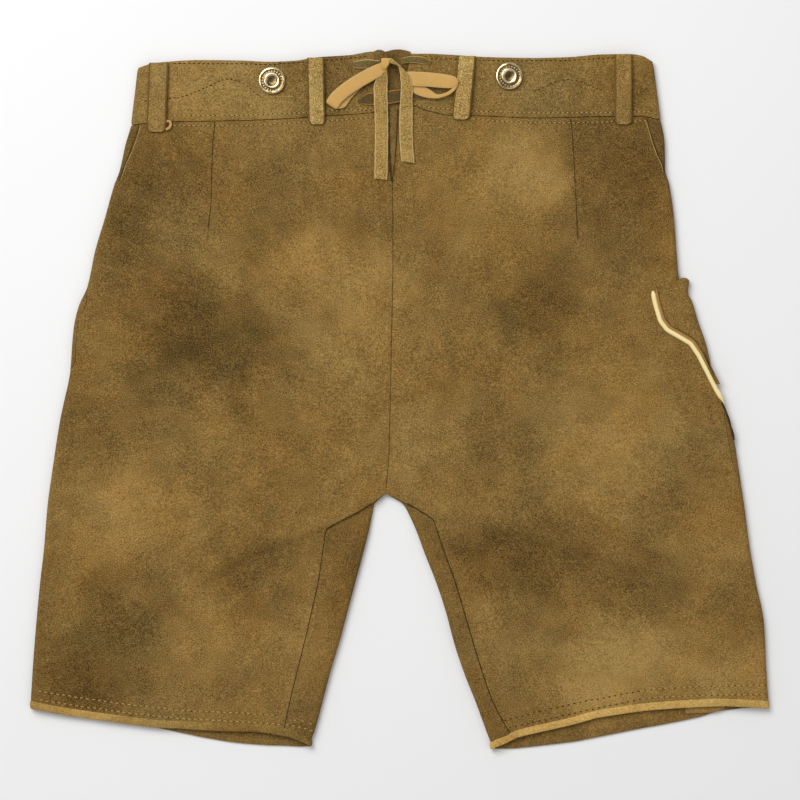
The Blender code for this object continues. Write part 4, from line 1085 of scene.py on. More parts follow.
class Threads:
    """Many small closed shapes, gathered into one mesh."""

    def __init__(self):
        self.points = []
        self.polygons = []

    def stitch(self, x, y, z, aim, length, thick):
        """One stitch: a short thread that rises from the leather and goes down again."""
        base = len(self.points)
        rings = ((-0.5, 0.35, -0.25), (-0.28, 0.9, 0.18), (0.0, 1.0, 0.3), (0.28, 0.9, 0.18),
                 (0.5, 0.35, -0.25))
        sides = 6
        for t, share, rise in rings:
            for k in range(sides):
                a = 2 * math.pi * k / sides
                across = math.cos(a) * thick / 2 * share
                px = x + math.cos(aim) * t * length - math.sin(aim) * across
                py = y + math.sin(aim) * t * length + math.cos(aim) * across
                self.points.append((px, py, z + rise * thick + math.sin(a) * thick / 2 * share))
        self.polygons.append(tuple(base + k for k in range(sides))[::-1])
        for face in faces_of(len(rings), sides, ring=True):
            self.polygons.append(tuple(base + k for k in face))
        self.polygons.append(tuple(base + (len(rings) - 1) * sides + k for k in range(sides)))

    def row(self, path, pitch, length, thick, ground, chance):
        x, y, aim = along_path(path, pitch)
        for px, py, a in zip(x, y, aim):
            slip = chance.uniform(-0.15, 0.15)
            z = float(ground(px, py + slip))
            stretch = length * chance.uniform(0.82, 1.1)
            self.stitch(px, py + slip, z, a + chance.uniform(-0.1, 0.1), stretch, thick)

    def line(self, path, wide, ground):
        """A thin seam line that follows the leather."""
        x, y, aim = along_path(path, 1.6)
        base = len(self.points)
        for k, (px, py, a) in enumerate(zip(x, y, aim)):
            half = wide / 2 * (0.8 + 0.2 * math.sin(k * 0.9))
            z = float(ground(px, py))
            for s, rise in ((-1, -0.3), (-0.6, 0.06), (0.6, 0.06), (1, -0.3)):
                self.points.append((px - math.sin(a) * half * s, py + math.cos(a) * half * s,
                                    z + rise))
        self.polygons.append(tuple(base + k for k in range(4))[::-1])
        for face in faces_of(len(x), 4, ring=True):
            self.polygons.append(tuple(base + k for k in face))
        self.polygons.append(tuple(base + (len(x) - 1) * 4 + k for k in range(4)))

    def dotted(self, holes, path, pitch, length, thick, ground, chance):
        """A row of stitches with a dark needle hole between each two, a short dark stitch that paints
        the shade in the hole.
        """
        self.row(path, pitch, length, thick, ground, chance)
        x, y, aim = along_path(path, pitch)
        for px, py, a in zip(x, y, aim):
            px, py = px + math.cos(a) * pitch / 2, py + math.sin(a) * pitch / 2
            holes.stitch(px, py, float(ground(px, py)), a, 1.1, thick)

    def piece(self, name, material, sheet_slot):
        return finish_mesh(name, self.points, self.polygons, material, [])


# Thin dark lines of painted shadow where the leather is joined: darts, pocket openings.
DARTS = (((-148.1, 222.6), (-149.7, 208), (-150.4, 194), (-151, 174), (-151.2, 160),
          (-154.4, 128)),
         ((136.5, 225), (138.1, 212.8), (139, 198.4), (140.2, 173.6), (141, 160), (142.4, 128)))
POCKET_OPENINGS = (((-208.5, 219.4), (-211.4, 209.6), (-215.8, 197.6), (-219.8, 189.2),
                    (-224.4, 176)),
                   ((197.4, 224), (199.8, 216.2), (203.1, 204.8), (206.4, 196), (210.4, 187.6),
                    (211.6, 182)))

# Painted shadow in the slits beside the gusset, below the lacing: path and width.
GUSSET_SLITS = ((((-9.2, 233), (-8.9, 215), (-8.6, 196), (-8.0, 184), (-6.8, 175)), 1.3),
                (((-2.0, 233), (-2.4, 222), (-3.2, 204), (-4.4, 188), (-6.2, 175)), 0.7))

# Painted shadow in the slit at the side seam, under the tail of the piping.
POCKET_SLIT = ((257.4, -2), (260.2, -8), (263.0, -16), (265.4, -24), (267.4, -32))

# Rows of stitches: path, pitch, length, thickness.
BAND_ROWS = (
    (((-180, 269.4), (-128, 269.0), (-104, 268.2), (-66, 271.2), (-28, 274.6)), 3.8, 2.5, 0.75),
    (((14, 273.4), (40, 272.8), (84, 271.2), (136, 271.6), (170, 273.6)), 3.8, 2.5, 0.75),
    (((-184, 227.4), (-128, 227.6), (-84, 229.4), (-40, 232.2), (-16, 234)), 3.8, 2.4, 0.75),
    (((12, 236.4), (24, 233.8), (58, 231.0), (107, 229.6), (160, 229.8), (199, 230.6)),
     3.8, 2.4, 0.75),
    (((-184, 241.1), (-176, 242), (-168.5, 244.3), (-159.5, 248), (-152, 251.2), (-145.6, 254.6),
      (-138.4, 256.6), (-134, 256.2), (-127.7, 254.2), (-122, 251.2), (-117, 246.8),
      (-111.2, 242.4)), 3.4, 2.3, 0.7),
    (((108, 247.2), (113.6, 249.3), (118.8, 251.7), (124.2, 254.6), (133.2, 256.2),
      (143.8, 255), (150.9, 252), (156.6, 249.2), (160.8, 248)), 3.4, 2.3, 0.7),
    (((-36, 231.7), (-21, 231.7)), 3.4, 2.3, 0.7),
)
PANEL_ROWS = (
    (((-184, 219.6), (-128, 219.2), (-84, 221.4), (-40, 224.4), (-12, 227)), 3.8, 2.3, 0.7),
    (((59, 225.1), (81, 222.7), (102, 222), (134, 221.6), (160, 222.4), (196, 223.4)),
     3.8, 2.3, 0.7),
    (((-288, -233), (-254, -238.6), (-218, -243.6), (-176, -248.4), (-136.8, -250), (-102, -252)),
     4.7, 3.0, 0.8),
    (((-287, -240), (-258, -244.8), (-217, -250.4), (-176, -255), (-136.8, -256.8),
      (-97, -259.6)), 4.7, 3.0, 0.8),
    (((84, -256.4), (116, -248.3), (146, -241.4), (191, -233.2)), 4.7, 2.2, 0.9),
    (((88, -262), (121, -254.9), (146, -249.1), (192, -239.4)), 4.7, 2.2, 0.9),
    (((194, -232.8), (204.6, -231.4), (241, -229.3), (290, -228)), 4.7, 3.0, 0.8),
    (((195, -239.1), (208.6, -237.8), (241, -236.6), (290, -235.4)), 4.7, 3.0, 0.8),
    (((-90, -259.8), (-82, -261), (-71, -264.4)), 4.7, 3.0, 0.8),
    (((-84, -256), (-78, -256.8), (-71.5, -258.8)), 4.7, 3.0, 0.8),
)
POCKET_STITCHES = (((210.4, 85.2), (216.4, 88.6), (220.6, 88.8)), ((208.6, 83.2), (211.6, 87.4)))
PALE_BAND_ROWS = (2, 3, 6)
PALE_PANEL_ROWS = (0, 1, 2, 3, 6, 7, 8, 9)
BAR_TACKS = ((-110.4, -86.4, 242.7), (-110.4, -86.4, 238.2), (78, 98, 246.2), (77.6, 99.2, 242.2))


# ---------------------------------------------------------------- finishes

# Lighter and darker clouds of the hide: x, y, radius, and how much lighter or darker.
CLOUDS = (
    (-200, 180, 52, -0.24), (-220, 124, 44, -0.14), (-92, 168, 40, -0.16), (-148, 64, 74, -0.26),
    (-180, 44, 50, -0.12), (-240, -16, 44, -0.10), (-120, -140, 40, -0.20), (-216, -152, 40, -0.12),
    (-248, -200, 52, -0.22), (-260, -232, 34, -0.14), (-12, 168, 26, -0.08), (16, 80, 50, -0.06),
    (176, 200, 48, -0.20), (200, 160, 40, -0.14), (156, 136, 42, -0.10), (112, 76, 42, -0.24),
    (92, -36, 34, -0.15), (128, -128, 62, -0.20), (80, -128, 38, -0.16), (192, -152, 38, -0.12),
    (116, -176, 24, -0.10), (216, -100, 24, -0.08), (-206, -26, 30, -0.08), (-40, -120, 26, -0.08),
    (-80, 120, 34, 0.18), (-44, 88, 58, 0.17), (-12, 56, 50, 0.09), (104, 192, 30, 0.26),
    (60, 168, 46, 0.11), (-200, -84, 50, 0.18), (-240, -96, 44, 0.12), (-152, -180, 34, 0.10),
    (-80, -192, 46, 0.13), (-24, -48, 66, 0.09), (160, -16, 58, 0.16), (176, -64, 50, 0.12),
    (256, -120, 42, 0.10), (152, -208, 58, 0.26), (224, -200, 50, 0.19), (56, -200, 42, 0.07),
    (168, -232, 38, 0.17), (276, -232, 34, 0.22), (-172, 128, 26, 0.08), (-136, 100, 28, 0.10),
)


BAND_CLOUDS = ((-192, 250, 30, 0.06), (-150, 256, 52, 0.16), (-58, 250, 38, -0.16),
               (40, 250, 30, 0.02), (96, 250, 44, -0.06), (198, 252, 26, -0.14))
BINDING_CLOUDS = ((-270, -244, 50, 0.3), (-214, -250, 50, 0.2), (-110, -264, 46, -0.12),
                  (-70, -266, 30, -0.06))
# Clouds of the gusset: the two dark ones are painted shade in the hollow behind the lacing, between the
# waistband ends; the light one is a paler tone at its top.
GUSSET_SHADE_CLOUDS = ((2, 276, 12, -0.36), (-4, 255, 14, -0.24), (-18, 274, 8, 0.1))


class Finish:
    """A small maker of node materials that work in the garment's own frame."""

    def __init__(self, name, roughness, metallic=0.0, sheen=0.0):
        self.material = bpy.data.materials.new(name)
        self.material.use_nodes = True
        self.nodes = self.material.node_tree.nodes
        self.links = self.material.node_tree.links
        self.shader = self.nodes["Principled BSDF"]
        self.shader.inputs["Roughness"].default_value = roughness
        self.shader.inputs["Metallic"].default_value = metallic
        if sheen:
            self.shader.inputs["Sheen Weight"].default_value = sheen
            self.shader.inputs["Sheen Roughness"].default_value = 0.45
            self.shader.inputs["Sheen Tint"].default_value = (0.9, 0.74, 0.45, 1.0)
        self.place = self.nodes.new("ShaderNodeTexCoord").outputs["Object"]

    def noise(self, scale, detail=2.0, rough=0.55, vector=None):
        node = self.nodes.new("ShaderNodeTexNoise")
        node.inputs["Scale"].default_value = scale
        node.inputs["Detail"].default_value = detail
        node.inputs["Roughness"].default_value = rough
        self.links.new(vector or self.place, node.inputs["Vector"])
        return node.outputs["Fac"]

    def value(self, operation, a, b=0.0, c=0.0):
        node = self.nodes.new("ShaderNodeMath")
        node.operation = operation
        for socket, given in zip(node.inputs, (a, b, c)):
            if isinstance(given, (int, float)):
                socket.default_value = given
            else:
                self.links.new(given, socket)
        return node.outputs[0]

    def centred(self, noise, strength, total):
        """Adds a noise, taken about its middle, to a running total."""
        offset = self.value("SUBTRACT", noise, 0.5)
        return self.value("MULTIPLY_ADD", offset, strength, total)

    def ramp(self, value, stops):
        node = self.nodes.new("ShaderNodeValToRGB")
        elements = node.color_ramp.elements
        while len(elements) < len(stops):
            elements.new(0.5)
        for element, (at, colour) in zip(elements, stops):
            element.position = at
            element.color = (*colour, 1.0)
        self.links.new(value, node.inputs["Fac"])
        return node.outputs["Color"]

    def toned(self, total, base, spread=1.0):
        """Colours a value about 0.5 with the tones of a leather, with room at both ends."""
        eased = self.value("MULTIPLY_ADD", total, 0.6, 0.2)
        return self.ramp(eased, tone_stops(base, spread))

    def bump(self, heights, strength, distance):
        node = self.nodes.new("ShaderNodeBump")
        node.inputs["Strength"].default_value = strength
        node.inputs["Distance"].default_value = distance
        self.links.new(heights, node.inputs["Height"])
        self.links.new(node.outputs["Normal"], self.shader.inputs["Normal"])

    def colour(self, socket):
        self.links.new(socket, self.shader.inputs["Base Color"])
        return self.material


def tone_stops(base, spread=1.0):
    """Dark, middle and light tones of a leather about one colour."""
    dark = tuple(c * (1 - 0.58 * spread) for c in base)
    light = (base[0] * (1 + 0.74 * spread), base[1] * (1 + 0.84 * spread),
             base[2] * (1 + 1.2 * spread))
    deep = tuple(c * (1 - 0.85 * spread) for c in base)
    pale = tuple(c + 0.6 * (c - b) for c, b in zip(light, base))
    return ((0.0, deep), (0.2, dark), (0.5, base), (0.8, light), (1.0, pale))


def suede_finish(name, base, clouds=(), nap=1.0, grain=1.0, sheen=0.04):
    """Brushed leather: clouds, mottling and a short nap."""
    finish = Finish(name, 0.95, sheen=sheen)
    finish.shader.inputs["Specular IOR Level"].default_value = 0.15
    total = 0.5
    if clouds:
        warp = finish.nodes.new("ShaderNodeTexNoise")
        warp.inputs["Scale"].default_value = 22.0
        warp.inputs["Detail"].default_value = 3.0
        finish.links.new(finish.place, warp.inputs["Vector"])
        moved = finish.nodes.new("ShaderNodeVectorMath")
        moved.operation = "MULTIPLY_ADD"
        moved.inputs[1].default_value = (0.09, 0.09, 0.0)
        finish.links.new(warp.outputs["Color"], moved.inputs[0])
        finish.links.new(finish.place, moved.inputs[2])
        for x, y, radius, strength in clouds:
            away = finish.nodes.new("ShaderNodeVectorMath")
            away.operation = "DISTANCE"
            away.inputs[1].default_value = (x * MM + 0.045, y * MM + 0.045, 0.004)
            finish.links.new(moved.outputs[0], away.inputs[0])
            fade = finish.nodes.new("ShaderNodeMapRange")
            fade.interpolation_type = "SMOOTHERSTEP"
            fade.inputs["From Min"].default_value = 0.0
            fade.inputs["From Max"].default_value = radius * 1.5 * MM
            fade.inputs["To Min"].default_value = strength * 1.25
            fade.inputs["To Max"].default_value = 0.0
            finish.links.new(away.outputs["Value"], fade.inputs["Value"])
            total = finish.value("ADD", total, fade.outputs["Result"])
    total = finish.centred(finish.noise(16, 4, 0.6), 0.55, total)
    total = finish.centred(finish.noise(62, 3, 0.6), 0.5, total)
    total = finish.centred(finish.noise(260, 2, 0.6), 0.32 * grain, total)
    hairs = finish.noise(1050, 2, 0.7)
    total = finish.centred(hairs, 2.1 * nap, total)
    fine = finish.noise(2300, 1, 0.6)
    total = finish.centred(fine, 1.7 * nap, total)
    heights = finish.value("MULTIPLY_ADD", fine, 0.5, hairs)
    finish.bump(heights, 0.55 * nap, 0.0006)
    drift = finish.centred(finish.noise(150, 2, 0.6), 0.35, finish.noise(13, 4, 0.62))
    cast = finish.ramp(drift, ((0.34, (1.045, 0.985, 0.88)), (0.66, (0.96, 1.015, 1.07))))
    tint = finish.nodes.new("ShaderNodeMix")
    tint.data_type = "RGBA"
    tint.blend_type = "MULTIPLY"
    tint.inputs["Factor"].default_value = 1.0
    finish.links.new(finish.toned(total, base), tint.inputs[6])
    finish.links.new(cast, tint.inputs[7])
    return finish.colour(tint.outputs[2])


def grain_finish(name, base, roughness, spread=0.5):
    """Smooth leather with fine grain and light wear."""
    finish = Finish(name, roughness)
    total = finish.centred(finish.noise(90, 3), 0.4, 0.5)
    pores = finish.noise(1300, 2)
    total = finish.centred(pores, 0.45, total)
    total = finish.centred(finish.noise(380, 2), 0.3, total)
    finish.bump(pores, 0.3, 0.0003)
    return finish.colour(finish.toned(total, base, spread))


def thread_finish(name, base):
    """Spun thread with darker hollows."""
    finish = Finish(name, 0.9)
    finish.shader.inputs["Specular IOR Level"].default_value = 0.08
    total = finish.centred(finish.noise(900, 2), 0.7, 0.5)
    finish.bump(finish.noise(2600, 1), 0.4, 0.0002)
    return finish.colour(finish.toned(total, base, 0.6))


def brass_finish(name):
    """Polished pale brass whose colours paint its reflections: the leather's reflection in its stamped
    ring, a dark reflection in its cup and glints on its rims.
    """
    finish = Finish(name, 0.24, metallic=1.0)
    place = finish.nodes.new("ShaderNodeTexCoord").outputs["Generated"]
    away = finish.nodes.new("ShaderNodeVectorMath")
    away.operation = "DISTANCE"
    flat = finish.nodes.new("ShaderNodeVectorMath")
    flat.operation = "MULTIPLY"
    flat.inputs[1].default_value = (1, 1, 0)
    finish.links.new(place, flat.inputs[0])
    finish.links.new(flat.outputs[0], away.inputs[0])
    away.inputs[1].default_value = (0.5, 0.5, 0.0)
    radial = finish.value("MULTIPLY", away.outputs["Value"], 2.0)
    streaks = finish.noise(420, 3, 0.7)
    total = finish.centred(finish.noise(240, 2, 0.6), 0.3, radial)
    total = finish.centred(streaks, 0.12, total)
    # The ramp paints reflections and highlights: glints on the rims, the leather reflected in the ring,
    # shade and a dark reflection in the cup; the streaks mottle these reflections.
    painted_glint, reflected_brown, dark = (0.8, 0.68, 0.42), (0.2, 0.13, 0.05), (0.06, 0.045, 0.018)
    stops = ((0.0, dark), (0.36, reflected_brown), (0.43, painted_glint), (0.54, painted_glint), (0.59, reflected_brown),
             (0.84, reflected_brown), (0.92, painted_glint), (1.0, painted_glint))
    finish.bump(streaks, 0.15, 0.0003)
    return finish.colour(finish.ramp(total, stops))


def horn_finish(name):
    """Polished horn, streaked along one way."""
    finish = Finish(name, 0.32)
    stretch = finish.nodes.new("ShaderNodeMapping")
    stretch.inputs["Scale"].default_value = (1.0, 0.2, 1.0)
    finish.links.new(finish.place, stretch.inputs["Vector"])
    streaks = finish.noise(260, 4, 0.6, stretch.outputs[0])
    total = finish.centred(streaks, 1.3, 0.5)
    finish.bump(streaks, 0.1, 0.0003)
    return finish.colour(finish.toned(total, (0.3, 0.2, 0.11), 0.8))


FINISHES = {}


def finish_for(name):
    """Makes each material once, when a piece first needs it."""
    look = bpy.context.scene.lederhosen_look
    suede = tuple(look.suede_colour)
    nap = look.nap
    makers = {
        "suede_hide": lambda: suede_finish("suede_hide", suede, CLOUDS, nap=nap),
        "band_suede": lambda: suede_finish("band_suede", (0.232, 0.138, 0.036), BAND_CLOUDS,
                                           nap=nap, grain=1.6),
        "loop_suede": lambda: suede_finish("loop_suede", (0.405, 0.26, 0.078), nap=nap * 1.15,
                                           grain=1.8),
        "loop_suede_dark": lambda: suede_finish("loop_suede_dark", (0.26, 0.16, 0.045), nap=nap,
                                                grain=2.0),
        # The gusset's darker tone and its dark clouds are partly painted shade of the hollow behind the
        # lacing.
        "gusset_hide": lambda: suede_finish("gusset_hide", (0.2, 0.12, 0.034), GUSSET_SHADE_CLOUDS,
                                            nap=nap * 0.7),
        # A darker copy of the suede for the fronts, whose strips show at the inner legs: painted shade
        # where the fronts roll under the backs.
        "front_hide_shaded": lambda: suede_finish("front_hide_shaded", tuple(0.86 * c for c in suede), CLOUDS,
                                           nap=nap),
        "binding_left": lambda: suede_finish("binding_left", (0.265, 0.158, 0.04), BINDING_CLOUDS,
                                             nap=nap * 0.7),
        "binding_right": lambda: suede_finish("binding_right", (0.53, 0.335, 0.098),
                                              nap=nap * 0.55),
        # A darker suede for the lower half of the hem binding: painted shade inside the mouth of the
        # leg.
        "inside_hide_shaded": lambda: suede_finish("inside_hide_shaded", (0.2, 0.118, 0.032), nap=nap * 0.8),
        "tab_hide": lambda: suede_finish("tab_hide", (0.3, 0.165, 0.045), nap=nap * 0.6),
        "lace_suede": lambda: suede_finish("lace_suede", (0.355, 0.22, 0.062), nap=nap),
        "lace_grain": lambda: grain_finish("lace_grain", tuple(look.lace_colour), 0.62, 0.35),
        # Dark copies of the lace for the crossings, which lie deep behind the knot and the waistband
        # ends: painted shadow.
        "lace_shadow": lambda: suede_finish("lace_shadow", (0.155, 0.105, 0.032), nap=nap * 0.8),
        "lace_deep_shadow": lambda: suede_finish("lace_deep_shadow", (0.095, 0.062, 0.02), nap=nap * 0.7),
        "lace_orange": lambda: thread_finish("lace_orange", (0.33, 0.16, 0.045)),
        "piping_cream": lambda: grain_finish("piping_cream", (0.93, 0.76, 0.36), 0.55, 0.14),
        "welt_tan": lambda: grain_finish("welt_tan", (0.36, 0.19, 0.045), 0.7, 0.5),
        "thread_dark": lambda: thread_finish("thread_dark", (0.07, 0.034, 0.01)),
        "thread_pale": lambda: thread_finish("thread_pale", (0.47, 0.315, 0.105)),
        "seam_soft": lambda: thread_finish("seam_soft", (0.08, 0.046, 0.012)),
        "seam_shadow": lambda: thread_finish("seam_shadow", (0.055, 0.035, 0.012)),
        "edge_pale": lambda: thread_finish("edge_pale", (0.42, 0.29, 0.11)),
        "lace_cut": lambda: thread_finish("lace_cut", (0.52, 0.36, 0.14)),
        "loop_curl": lambda: grain_finish("loop_curl", (0.46, 0.27, 0.085), 0.7, 0.5),
        # Dark sides of the belt loops: painted shade where they stand off the waistband.
        "loop_edge_shade": lambda: thread_finish("loop_edge_shade", (0.14, 0.08, 0.02)),
        "brass": lambda: brass_finish("brass"),
        "horn_button": lambda: horn_finish("horn_button"),
    }
    if name not in FINISHES:
        FINISHES[name] = makers[name]()
    return FINISHES[name]


# ---------------------------------------------------------------- add-on

class LederhosenLook(bpy.types.PropertyGroup):
    """Sizes and colours that a user may change before the pieces are made."""

    suede_colour: bpy.props.FloatVectorProperty(
        name="Suede", description="Middle tone of the brushed leather", subtype="COLOR",
        size=3, min=0.0, max=1.0, default=(0.221, 0.127, 0.032))
    lace_colour: bpy.props.FloatVectorProperty(
        name="Lace", description="Smooth side of the lace", subtype="COLOR",
        size=3, min=0.0, max=1.0, default=(0.56, 0.315, 0.072))
    nap: bpy.props.FloatProperty(
        name="Nap", description="Strength of the short nap", default=1.15, min=0.0, max=3.0,
        subtype="FACTOR")
    floor_tone: bpy.props.FloatProperty(
        name="Floor", description="Paleness of the floor", default=0.9, min=0.0, max=1.0,
        subtype="FACTOR")
    light_power: bpy.props.FloatProperty(
        name="Light", description="Power of the large soft light", default=45.0, min=0.0,
        unit="POWER")
    camera_height: bpy.props.FloatProperty(
        name="Camera height", description="Height of the camera over the garment", default=2.5,
        min=0.5, max=10.0, unit="LENGTH")
    shown_width: bpy.props.FloatProperty(
        name="Shown width", description="Width that the camera takes in at the garment",
        default=0.64, min=0.1, max=3.0, unit="LENGTH")


class LEDERHOSEN_OT_stage(bpy.types.Operator):
    """Make the floor, the soft light and the camera straight above"""

    bl_idname = "lederhosen.stage"
    bl_label = "Stage"

    def execute(self, context):
        look = context.scene.lederhosen_look
        mesh = bpy.data.meshes.new("floor")
        reach, level = 4.0, -0.0004
        corners = [(x * reach, y * reach, level) for x, y in ((-1, -1), (1, -1), (1, 1), (-1, 1))]
        mesh.from_pydata(corners, [], [(0, 1, 2, 3)])
        floor = bpy.data.objects.new("floor", mesh)
        context.scene.collection.objects.link(floor)
        finish = Finish("floor_paper", 0.9)
        tone = look.floor_tone
        shade = finish.centred(finish.noise(3.0, 2), 0.2, 0.5)
        pale = tuple(tone * 0.995 for _ in range(3))
        mesh.materials.append(finish.colour(finish.ramp(shade, ((0.0, pale), (1.0, (tone,) * 3)))))

        world = bpy.data.worlds.new("soft_room")
        world.use_nodes = True
        background = world.node_tree.nodes["Background"]
        background.inputs["Color"].default_value = (1, 1, 1, 1)
        background.inputs["Strength"].default_value = 0.375
        context.scene.world = world
        for name, place, size, share in (("key", (-0.9, 1.1, 2.0), 1.6, 1.0),
                                         ("fill", (1.3, -0.8, 2.2), 2.2, 0.16)):
            light = bpy.data.lights.new(name, "AREA")
            light.energy = look.light_power * share
            light.size = size
            lamp = bpy.data.objects.new(name, light)
            lamp.location = place
            lamp.rotation_euler = Vector(place).to_track_quat("Z", "Y").to_euler()
            context.scene.collection.objects.link(lamp)
        context.scene.view_settings.view_transform = "Standard"

        camera = bpy.data.cameras.new("camera")
        camera.sensor_width = 36.0
        camera.lens = camera.sensor_width * look.camera_height / look.shown_width
        camera.clip_end = 50.0
        eye = bpy.data.objects.new("camera", camera)
        eye.location = (0, 0, look.camera_height + 0.006)
        context.scene.collection.objects.link(eye)
        context.scene.camera = eye
        return {"FINISHED"}


class LEDERHOSEN_OT_lacing(bpy.types.Operator):
    """Make the flat lace: free ends, knot, bow loops and crossings"""

    bl_idname = "lederhosen.lacing"
    bl_label = "Lacing"

    def execute(self, context):
        for name, path in (("lace_end_left", LACE_END_LEFT), ("lace_end_right", LACE_END_RIGHT)):
            piece = strap("free_" + name, path, LACE_THICK, finish_for("lace_suede"),
                          [name], crown=0.12, rows=90, ripple=0.03,
                          edge_material=finish_for("lace_cut"))
        # The crossings take dark copies of the lace: painted shadow.
        for name, path, look, rows in (
                ("lace_crossing_lower", LACE_CROSSING_LOWER, "lace_deep_shadow", 60),
                ("lace_crossing_upper_left", LACE_CROSSING_UPPER_LEFT, "lace_shadow", 40),
                ("lace_crossing_upper_right", LACE_CROSSING_UPPER_RIGHT, "lace_shadow", 40),
                ("lace_loop_left", LACE_LOOP_LEFT, "lace_grain", 110),
                ("lace_loop_right", LACE_LOOP_RIGHT, "lace_grain", 110),
                ("lace_knot", LACE_KNOT, "lace_grain", 60)):
            cut = "lace_orange" if name == "lace_crossing_lower" else "lace_cut"
            strap("bow_" + name, path, LACE_THICK, finish_for(look), [name],
                               crown=0.1, rows=rows, edge_material=finish_for(cut))
        for name, path, look in (("knot_arm_left", KNOT_ARM_LEFT, "lace_suede"),
                                 ("knot_arm_right", KNOT_ARM_RIGHT, "lace_suede"),
                                 ("knot_arm_loop", KNOT_ARM_LOOP, "lace_grain"),
                                 ("loop_return_right", LACE_LOOP_RETURN, "lace_grain")):
            strap(name, path, LACE_THICK, finish_for(look), [], crown=0.12,
                               rows=48, edge_material=finish_for("lace_cut"))
        return {"FINISHED"}


class LEDERHOSEN_OT_panels(bpy.types.Operator):
    """Make the back and front panels of the seat and legs"""

    bl_idname = "lederhosen.panels"
    bl_label = "Panels"

    def execute(self, context):
        hide = finish_for("suede_hide")
        for side, word in ((LEFT, "left"), (RIGHT, "right")):
            fine_back(side, "back_" + word, hide)
            # The fronts take a darker copy of the suede: painted shade on the strips at the inner legs.
            fine_front(side, "front_" + word, finish_for("front_hide_shaded"))
        return {"FINISHED"}


class LEDERHOSEN_OT_waistband(bpy.types.Operator):
    """Make both halves of the waistband and the gusset between them"""

    bl_idname = "lederhosen.waistband"
    bl_label = "Waistband"

    def execute(self, context):
        for side, word in ((LEFT, "left"), (RIGHT, "right")):
            fine_waistband(side, "waistband_" + word, finish_for("band_suede"))
        fine_gusset(finish_for("gusset_hide"))
        return {"FINISHED"}


class LEDERHOSEN_OT_belt_loops(bpy.types.Operator):
    """Make the four belt loops"""

    bl_idname = "lederhosen.belt_loops"
    bl_label = "Belt loops"

    def execute(self, context):
        # The loops' sides and ends take a dark edge finish: painted shade along the loops.
        for name, top_x, bottom_x, bottom_y, width in BELT_LOOPS:
            look = "loop_suede" if "inner" in name else "loop_suede_dark"
            strap("strap_" + name, belt_loop_path(top_x, bottom_x, bottom_y, width), LOOP_THICK,
                  finish_for(look), [name], crown=0.3, rows=72, ripple=0.02,
                  edge_material=finish_for("loop_edge_shade"))
        strap("loop_curl_left", LOOP_CURL, 1.2, finish_for("loop_curl"), [], crown=0.1,
              rows=40)
        return {"FINISHED"}


class LEDERHOSEN_OT_hems(bpy.types.Operator):
    """Make the hem bindings and the tab inside the right hem"""

    bl_idname = "lederhosen.hems"
    bl_label = "Hems"

    def execute(self, context):
        for side, word in ((LEFT, "left"), (RIGHT, "right")):
            fine_binding(side, "hem_binding_" + word, finish_for("binding_" + word),
                         finish_for("inside_hide_shaded"))
        strap("hem_tab", HEM_TAB, HEM_TAB_THICK, finish_for("tab_hide"),
              ["hem_tab_right"], crown=0.05)
        return {"FINISHED"}


class LEDERHOSEN_OT_knife_pocket(bpy.types.Operator):
    """Make the knife pocket with its piping and welt"""

    bl_idname = "lederhosen.knife_pocket"
    bl_label = "Knife pocket"

    def execute(self, context):
        pocket_bead("pocket_piping", -2.8, PIPING_WIDE + 0.3, PIPING_THICK - 0.1, (0.03, 0.09), 120,
                    finish_for("piping_cream"), "knife_pocket_piping")
        pocket_bead("pocket_welt", PIPING_WIDE - 2.7, WELT_WIDE, WELT_THICK - 0.2, (0.05, 0.42), 100,
                    finish_for("welt_tan"), "knife_pocket_welt")
        fine_pocket(finish_for("suede_hide"))
        return {"FINISHED"}


class LEDERHOSEN_OT_front_flap(bpy.types.Operator):
    """Make the drop front and its two horn buttons, which lie face down"""

    bl_idname = "lederhosen.front_flap"
    bl_label = "Drop front"

    def execute(self, context):
        fine_flap(finish_for("suede_hide"))
        for word, (x, y) in zip(("left", "right"), flap_buttons()):
            turned("horn_button_" + word, x, y, 0.02, FLAP_BUTTON, finish_for("horn_button"),
                   "flap_button_" + word)
        return {"FINISHED"}


class LEDERHOSEN_OT_brace_buttons(bpy.types.Operator):
    """Make the two metal brace buttons"""

    bl_idname = "lederhosen.brace_buttons"
    bl_label = "Brace buttons"

    def execute(self, context):
        for name, x, y in SUSPENDER_BUTTONS:
            turned("brass_" + name, x, y, BAND_TOP + SEAM + 0.2, SUSPENDER_BUTTON,
                   finish_for("brass"), name, ribs=22)
        return {"FINISHED"}


